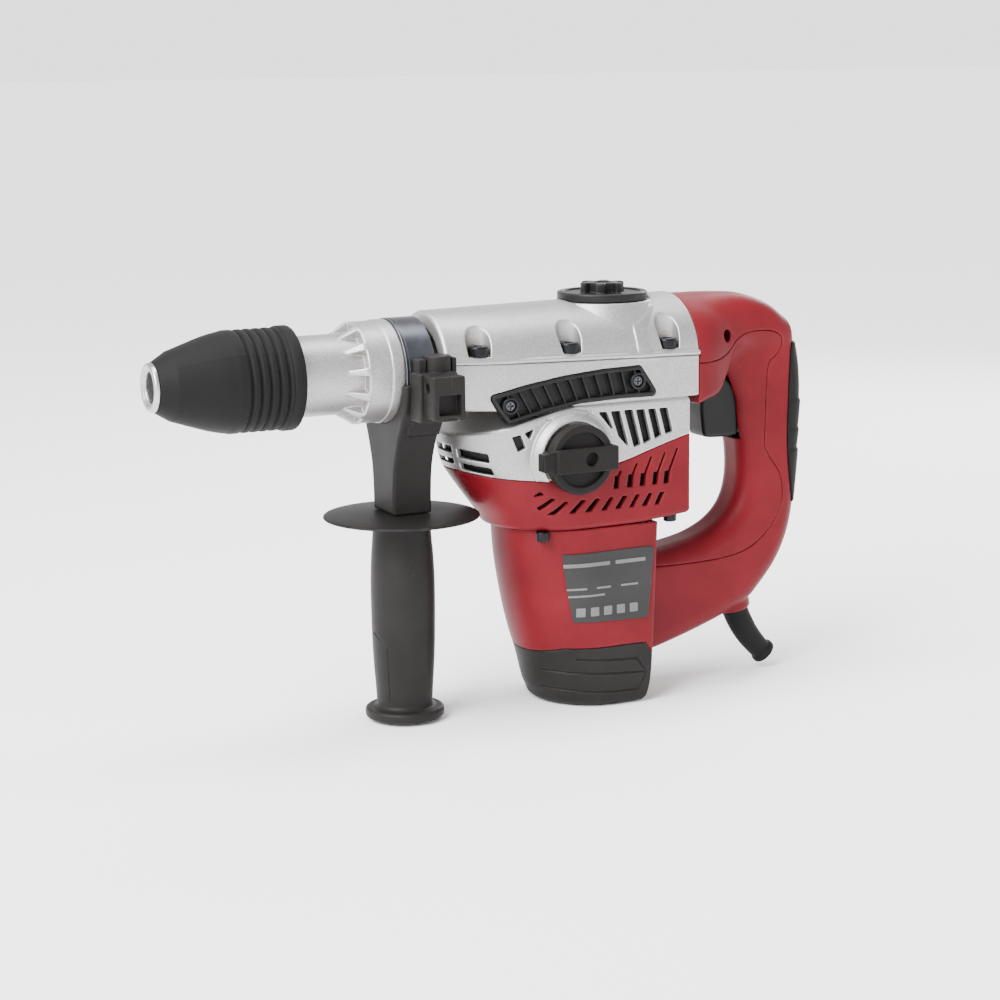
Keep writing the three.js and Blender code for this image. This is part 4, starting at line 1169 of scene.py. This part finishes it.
def handle_shell(x, y, z):
    body = handle_outside(x, y, z)
    pad_seat = both(pad_edge(z) - 0.4 - x, between(z, 118, 229.4), 0.6)
    backing = both(pad_edge(z) - 4.6 - x, between(z, 114, 233))
    cavity = without(body + 3.4, backing, 1.0)
    seat = both(pad_seat, -(handle_bar(x, y, z) + 4.0))
    shell = without(body, cavity, 0.5)
    shell = without(shell, seat, 0.3)
    slot = rounded_box(x, y, z, (90, -11.4, 164.8), (152, 11.4, 210), 0.6)
    shell = without(shell, slot, 0.4)
    screw = cylinder(x, z, HANDLE_SCREW, 0)
    tube = both(screw - 5.6, body + 1)
    shell = np.minimum(shell, both(tube, 12 - np.abs(y)))
    shell = without(shell, both(screw - 4.2, 11 - np.abs(y)), 0.7)
    u, w = x - CORD_EXIT[0], z - CORD_EXIT[2]
    bore = np.hypot(math.cos(CORD_TILT) * u + math.sin(CORD_TILT) * w, y) - 9.4
    return without(shell, both(bore, z - 66), 0.5)


def handle_cover_field(x, y, z):
    return both(handle_shell(x, y, z), seam_outline(x, z) + SEAM, 0.45)


def handle_housing_field(x, y, z):
    return both(handle_shell(x, y, z), SEAM - seam_outline(x, z), 0.45)


def pad_field(x, y, z):
    """Rubber back of the grip, in four blocks that step a little against each other."""
    swell = np.interp(z, (118, 154, 156, 168, 170, 188, 190, 229), (1.0, 1.5, 0.5, 1.3, 0.6, 1.5, 0.6, 1.4))
    body = handle_bar(x, y, z) - swell
    body = both(body, both(pad_edge(z) - x, between(z, 118.4, 229)), 0.9)
    return both(body, -(handle_bar(x, y, z) + 3.6), 0.3)


def trigger_field(x, y, z):
    """Lever with a hollowed finger face; it hangs from a pin in the handle."""
    outline = trigger_outline(x, z)
    body = both(outline, np.abs(y) - 10.9, 3.0)
    ridge = both(np.abs(np.abs(y) - 6.6) - 0.5, outline + 1.2)
    body = without(body, both(ridge, -outline - 1.2), 0.2)
    return without(body, cylinder(x, z, TRIGGER_PIN, 2.5), 0.2)


trigger_outline = charted([spline([(112, 208.5), (105.6, 203.5), (103, 195), (102.7, 186), (103.6, 177),
                                   (104.6, 170),
                                  (107, 167.6), (116, 166.8), (128, 167.0), (131.6, 170.5), (131, 196),
                                  (121, 208)], 5, closed=True)], 0, 0.25)


def cord_guard():
    """Tapered strain relief that curves back, with a stepped collar and a flared, open end."""
    line = spline([(131.5, 0, 55), (135.2, 0, 46), (139.6, 0, 36), (146.2, 0, 25.2), (154.2, 0, 15.6),
                   (160.2, 0, 9.9)], 10)
    length = np.concatenate([[0], np.cumsum(np.linalg.norm(np.diff(line, axis=0), axis=1))])
    radius = np.interp(length, (0, 9.5, 9.9, 12.6, 13.2, 26, length[-1] - 3.4, length[-1] - 2.8,
                                length[-1]),
                       (8.6, 8.6, 9.3, 9.3, 8.9, 8.6, 7.3, 8.7, 8.8))
    path = [Vector(p.tolist()) for p in line]
    ahead = (path[-1] - path[-2]).normalized()
    inner = [(path[-1] - ahead * step, size) for step, size in ((0, 8.4), (0, 4.2), (1, 3.7), (14, 3.7))]
    rim = path[-1] + ahead * 0.5
    path = path + [rim] + [p for p, _ in inner[1:]]
    radii = [float(r) for r in radius] + [8.2] + [size for _, size in inner[1:]]
    return swept("cord_guard_sleeve", path, radii, 64)


# ---------------------------------------------------------------- fittings

def oil_cap_field(x, y, z):
    """Grease cap: a rimmed disc with a lobed grip and a six-sided socket."""
    u = x - CAP_X
    reach = np.hypot(u, y)
    disc = both(both(reach - 29.7, between(z, 264.9, 270.2), 1.0), -z)
    skirt = both(reach - 25, between(z, 257, 266))
    dish = both(reach - 25.4, 269.2 - z)
    body = without(np.minimum(disc, skirt), dish, 0.4)
    body = without(body, both(np.abs(reach - 27.6) - 0.35, 269.8 - z), 0.2)
    turn = np.arctan2(y, u)
    lobes = 12.4 + 2.4 * np.tanh(4.5 * np.cos(6 * turn + 0.35))
    grip = both((reach - lobes) * 0.6, between(z, 266, 276), 0.7)
    body = either(body, grip, 0.9)
    hexagon = np.maximum(np.maximum(np.abs(u), np.abs(0.5 * u + 0.866 * y)),
                         np.abs(0.5 * u - 0.866 * y)) - 5.4
    return without(body, both(hexagon, 271.5 - z), 0.4)


def mode_knob_field(x, y, z):
    """Turning knob: a dished disc with a raised rim and a wide bar across it."""
    u, v, out = x - KNOB_X, z - KNOB_Z, -y
    reach = np.hypot(u, v)
    disc = both(reach - 22.6, between(out, 51.4, 60.6), 1.6)
    dish = both(reach - 17.6, 57.2 - out, 0.4)
    body = without(disc, dish, 0.7)
    bar = rounded_box(u, v, out, (-20, -7.9, 52), (24.6, 7.9, 63.4), 1.1)
    tab = rounded_box(u, v, out, (-28.4, -6.0, 52.5), (-18, 5.6, 61.4), 1.0)
    neck = rounded_box(u, v, out, (-25.2, -7.0, 52.5), (-18, 6.6, 61.0), 0.8)
    body = either(body, np.minimum(np.minimum(bar, tab), neck), 0.6)
    dimple = both(np.hypot(u - 5.2, v - 0.5) - 4.5, 58.6 - out)
    body = without(body, dimple, 0.6)
    line = both(both(np.abs(u + 19.4) - 0.35, 62.9 - out), np.abs(v) - 7.2)
    body = without(body, line, 0.2)
    stem = both(reach - 6.5, between(out, 34, 53))
    return np.minimum(body, stem)


def screw_head(name, axis, centre, face, radius, height, out, drive="cross"):
    """Screw head with a rounded rim and a real recess; out is the way that it faces, +1 or -1."""
    def field(x, y, z):
        if axis == "z":
            u, v, w = x - centre[0], y - centre[1], (z - face) * out
        else:
            u, v, w = x - centre[0], z - centre[1], (y - face) * out
        reach = np.hypot(u, v)
        head = both(reach - radius, between(w, -height, 0), 0.25 * radius)
        if drive == "hex":
            recess = np.maximum(np.maximum(np.abs(u), np.abs(0.5 * u + 0.866 * v)),
                                np.abs(0.5 * u - 0.866 * v))
            recess = both(recess - 0.5 * radius, -0.7 * height - w)
        else:
            cross = np.minimum(np.maximum(np.abs(u) - 0.16 * radius, np.abs(v) - 0.62 * radius),
                               np.maximum(np.abs(v) - 0.16 * radius, np.abs(u) - 0.62 * radius))
            recess = both(cross, -0.55 * height - w)
        return without(head, recess, 0.12)
    reach = radius + 0.5
    span = sorted((face - out * height, face))
    if axis == "z":
        low = (centre[0] - reach, centre[1] - reach, span[0])
        high = (centre[0] + reach, centre[1] + reach, span[1])
    else:
        low = (centre[0] - reach, span[0], centre[1] - reach)
        high = (centre[0] + reach, span[1], centre[1] + reach)
    return solid(name, field, low, high, 0.22)


# ---------------------------------------------------------------- assembly

def build_case():
    low, high = room(["gear_case"], 3)
    high[2] = 236
    casting = solid("gear_case_casting", side_gear_case, low, high, 0.62)
    piece(casting, "housing", "cast_alloy", CAST, "gear_case")
    low, high = room(["case_cover"], 3)
    low[2] = 227
    casting = solid("case_cover_casting", case_cover_field, low, high, 0.62)
    piece(casting, "housing", "cast_alloy", CAST, "case_cover")
    moulded("mid_sleeve_moulding", mid_sleeve_field, 0.66, 4, "housing", "red_plastic", RED, "mid_sleeve")
    # Black sheet behind the vents: painted shade for the dark inside of the case.
    liner = solid("vent_shade_sheet", vent_shade_sheet_field, *room(["mid_sleeve", "gear_case"], 0), 0.8)
    piece(liner, "housing", "black_plastic", BLACK)
    for side, name in ((-1, "left"), (1, "right")):
        def grille(x, y, z, side=side):
            return np.maximum(grille_field(x, y, z), -side * y)
        moulded(f"vent_grille_insert_{name}", grille, 0.4, 4, "housing", "black_plastic", BLACK,
                f"vent_grille_{name}")
        for number, place in enumerate(GRILLE_SCREWS):
            face = side * (float(case_half(np.array(place[0]))) - 0.1)
            head = screw_head(f"grille_screw_{name}_{number}", "y", place, face, 3.5, 2.6, side)
            piece(head, "housing", "black_steel", BLACK_STEEL)


def build_motor():
    moulded("motor_housing_moulding", motor_housing_field, 0.72, 3, "housing", "red_plastic", RED,
            "motor_housing")
    moulded("motor_cap_moulding", motor_cap_field, 0.62, 3, "housing", "dark_plastic", DARK, "motor_cap")
    moulded("rating_plate_label", rating_plate_field, 0.4, 2.5, "housing", "plate", PLATE, "rating_plate")
    printed = solid("rating_plate_print", plate_bars_field, *room(["rating_plate"], 2.5), 0.3)
    piece(printed, "housing", "plate", PRINT)


def build_nose():
    moulded("front_housing_casting", front_housing_field, 0.55, 2, "housing", "cast_alloy", CAST,
            "front_housing")
    piece(chuck_boot(), "chuck", "soft_rubber", RUBBER, "chuck_boot")
    ring = turned("nose_ring_polished", round_corners(NOSE_RING, 0.5), 128)
    piece(ring, "spindle", "steel", STEEL, "nose_ring")


def build_side_handle():
    on_bracket = ("side_handle", "dark_plastic", DARK)
    moulded("clamp_band_strap", band_field, 0.4, 2, "side_handle", "black_steel", BLACK_STEEL, "clamp_band")
    moulded("handle_bracket_moulding", bracket_field, 0.55, 3, *on_bracket, "handle_bracket")
    moulded("depth_stop_clamp", stop_block_field, 0.42, 4, *on_bracket, "depth_stop_block")
    moulded("side_grip_moulding", side_grip_field, 0.55, 2, "side_grip", "dark_plastic", DARK, "side_grip")


def build_rear_handle():
    moulded("handle_housing_shell", handle_housing_field, 0.8, 4, "housing", "red_plastic", RED,
            "handle_housing")
    moulded("handle_cover_shell", handle_cover_field, 0.72, 4, "housing", "red_plastic", RED,
            "handle_cover")
    moulded("handle_pad_rubber", pad_field, 0.6, 4, "housing", "soft_rubber", RUBBER, "handle_pad")
    moulded("trigger_lever", trigger_field, 0.5, 3, "trigger", "black_plastic", BLACK, "trigger")
    piece(cord_guard(), "housing", "soft_rubber", RUBBER, "cord_guard")


def build_fittings():
    moulded("grease_cap", oil_cap_field, 0.45, 2, "housing", "black_plastic", BLACK, "oil_cap")
    moulded("mode_knob_moulding", mode_knob_field, 0.45, 3, "mode_knob", "dark_plastic", KNOB_GREY,
            "mode_knob")
    for place, row in zip(BOLT_LINE, ("front", "middle", "rear")):
        for side, name in ((-1, "left"), (1, "right")):
            centre = (place, side * (SCREW_DEPTH[place] + 0.2))
            face = case_seam(place) + POCKET_LIFT + 6.8
            head = screw_head(f"case_screw_head_{row}_{name}", "z", centre, face, 6.4, 7.0, 1, "hex")
            piece(head, "housing", "black_steel", SCREW_BLACK, f"case_screw_{row}_{name}")
    for row in ("front", "rear"):
        for name in ("left", "right"):
            node = f"sleeve_bolt_{row}_{name}"
            low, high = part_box(node)
            centre = ((low.x + high.x) / 2 / MM, (low.y + high.y) / 2 / MM)
            face = low.z / MM - 0.6
            head = screw_head(f"sleeve_bolt_head_{row}_{name}", "z", centre, face, 4.35, 6.6, -1, "hex")
            piece(head, "housing", "black_steel", SCREW_BLACK, node)


FINISHES = {"switch": BLACK, "fan": BLACK, "stator": LAMINATION, "core": LAMINATION, "commutator": COPPER,
            "brush": COPPER, "plate": CAST, "bridge": CAST, "piston": CAST, "screw": BLACK_STEEL,
            "bolt": STEEL, "boot": RUBBER, "seal": RUBBER, "ring": STEEL}
UPRIGHT = ("armature_shaft", "lower_bearing", "upper_bearing", "crank_gear", "crankshaft",
           "intermediate_shaft",
           "wrist_pin", "grip_bolt")


def finish_kept_nodes():
    """Gives every CAD node that still shows a metal, coil or plastic finish, by the words of its name."""
    for name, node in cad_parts.items():
        if node.hide_render or node.type != "MESH":
            continue
        finish = STEEL_UPRIGHT if name in UPRIGHT else STEEL
        for word, material in FINISHES.items():
            if word in name.split("_"):
                finish = material
        node.data.materials.clear()
        node.data.materials.append(finish)


# ---------------------------------------------------------------- studio

def build_stage():
    floor = bpy.data.meshes.new("floor")
    floor.from_pydata([(-30, -30, 0), (30, -30, 0), (30, 30, 0), (-30, 30, 0)], [], [(0, 1, 2, 3)])
    plane = placed("floor", floor)
    plane.location.z = -0.0005
    material, _, shader = new_material("floor_paper")
    shader.inputs["Base Color"].default_value = (0.97, 0.97, 0.97, 1)
    shader.inputs["Roughness"].default_value = 1.0
    shader.inputs["Specular IOR Level"].default_value = 0.0
    floor.materials.append(material)


def area_light(name, place, target, size, power, colour=(1, 1, 1)):
    data = bpy.data.lights.new(name, "AREA")
    data.shape = "RECTANGLE"
    data.size, data.size_y = size
    data.energy = power
    data.color = colour
    light = placed(name, data)
    light.location = place
    light.rotation_euler = (Vector(target) - Vector(place)).to_track_quat("-Z", "Y").to_euler()


HORIZON, CEILING = 2.2, 0.9  # brightness of the studio walls and of its ceiling
SUN_SIDE = (-0.82, -0.22, 1.0)  # where the sun stands


def build_lights():
    """A pale studio: bright low walls, a darker ceiling, a broad key from the nose end and a soft sun."""
    world = bpy.data.worlds.new("studio")
    world.use_nodes = True
    tree = world.node_tree
    background = tree.nodes["Background"]
    place = tree.nodes.new("ShaderNodeTexCoord")
    split = tree.nodes.new("ShaderNodeSeparateXYZ")
    tree.links.new(place.outputs["Generated"], split.inputs["Vector"])
    fade = tree.nodes.new("ShaderNodeMapRange")
    fade.interpolation_type = "SMOOTHSTEP"
    for name, value in (("From Min", 0.05), ("From Max", 0.55), ("To Min", HORIZON), ("To Max", CEILING)):
        fade.inputs[name].default_value = value
    tree.links.new(split.outputs["Z"], fade.inputs["Value"])
    tree.links.new(fade.outputs["Result"], background.inputs["Strength"])
    background.inputs["Color"].default_value = (1, 1, 1, 1)
    bpy.context.scene.world = world
    area_light("key", (-1.5, -0.9, 1.1), (-0.05, 0, 0.15), (0.8, 0.8), 42)
    area_light("top", (0.0, 0.15, 1.6), (0, 0, 0.2), (1.4, 0.5), 26, (0.95, 0.95, 1.0))
    area_light("rear", (1.2, 0.9, 0.9), (0.05, 0, 0.18), (0.5, 0.9), 14)
    data = bpy.data.lights.new("sun", "SUN")
    data.energy = 5.9
    data.angle = math.radians(40)
    placed("sun", data).rotation_euler = Vector(SUN_SIDE).to_track_quat("Z", "Y").to_euler()


CAMERA_PLACE = (-0.7267, -1.3821, 0.4303)
CAMERA_YAW, CAMERA_PITCH, CAMERA_ROLL = 0.4574, 0.1833, -0.0104
CAMERA_LENS, CAMERA_SHIFT = 86.35, (0.00285, -0.0113)


def build_camera():
    data = bpy.data.cameras.new("camera")
    data.sensor_width = 36
    data.lens = CAMERA_LENS
    data.shift_x, data.shift_y = CAMERA_SHIFT
    data.clip_start, data.clip_end = 0.05, 100
    camera = placed("camera", data)
    ahead = Vector((math.sin(CAMERA_YAW) * math.cos(CAMERA_PITCH),
                    math.cos(CAMERA_YAW) * math.cos(CAMERA_PITCH),
                    -math.sin(CAMERA_PITCH)))
    right = Vector((math.cos(CAMERA_YAW), -math.sin(CAMERA_YAW), 0))
    up = right.cross(ahead)
    turned_right = math.cos(CAMERA_ROLL) * right + math.sin(CAMERA_ROLL) * up
    turned_up = math.cos(CAMERA_ROLL) * up - math.sin(CAMERA_ROLL) * right
    camera.matrix_world = Matrix([[turned_right[i], turned_up[i], -ahead[i],
                                   CAMERA_PLACE[i]] for i in range(3)]
                                 + [[0, 0, 0, 1]])
    bpy.context.scene.camera = camera


build_case()
build_motor()
build_nose()
build_side_handle()
build_rear_handle()
build_fittings()
finish_kept_nodes()
build_stage()
build_lights()
build_camera()
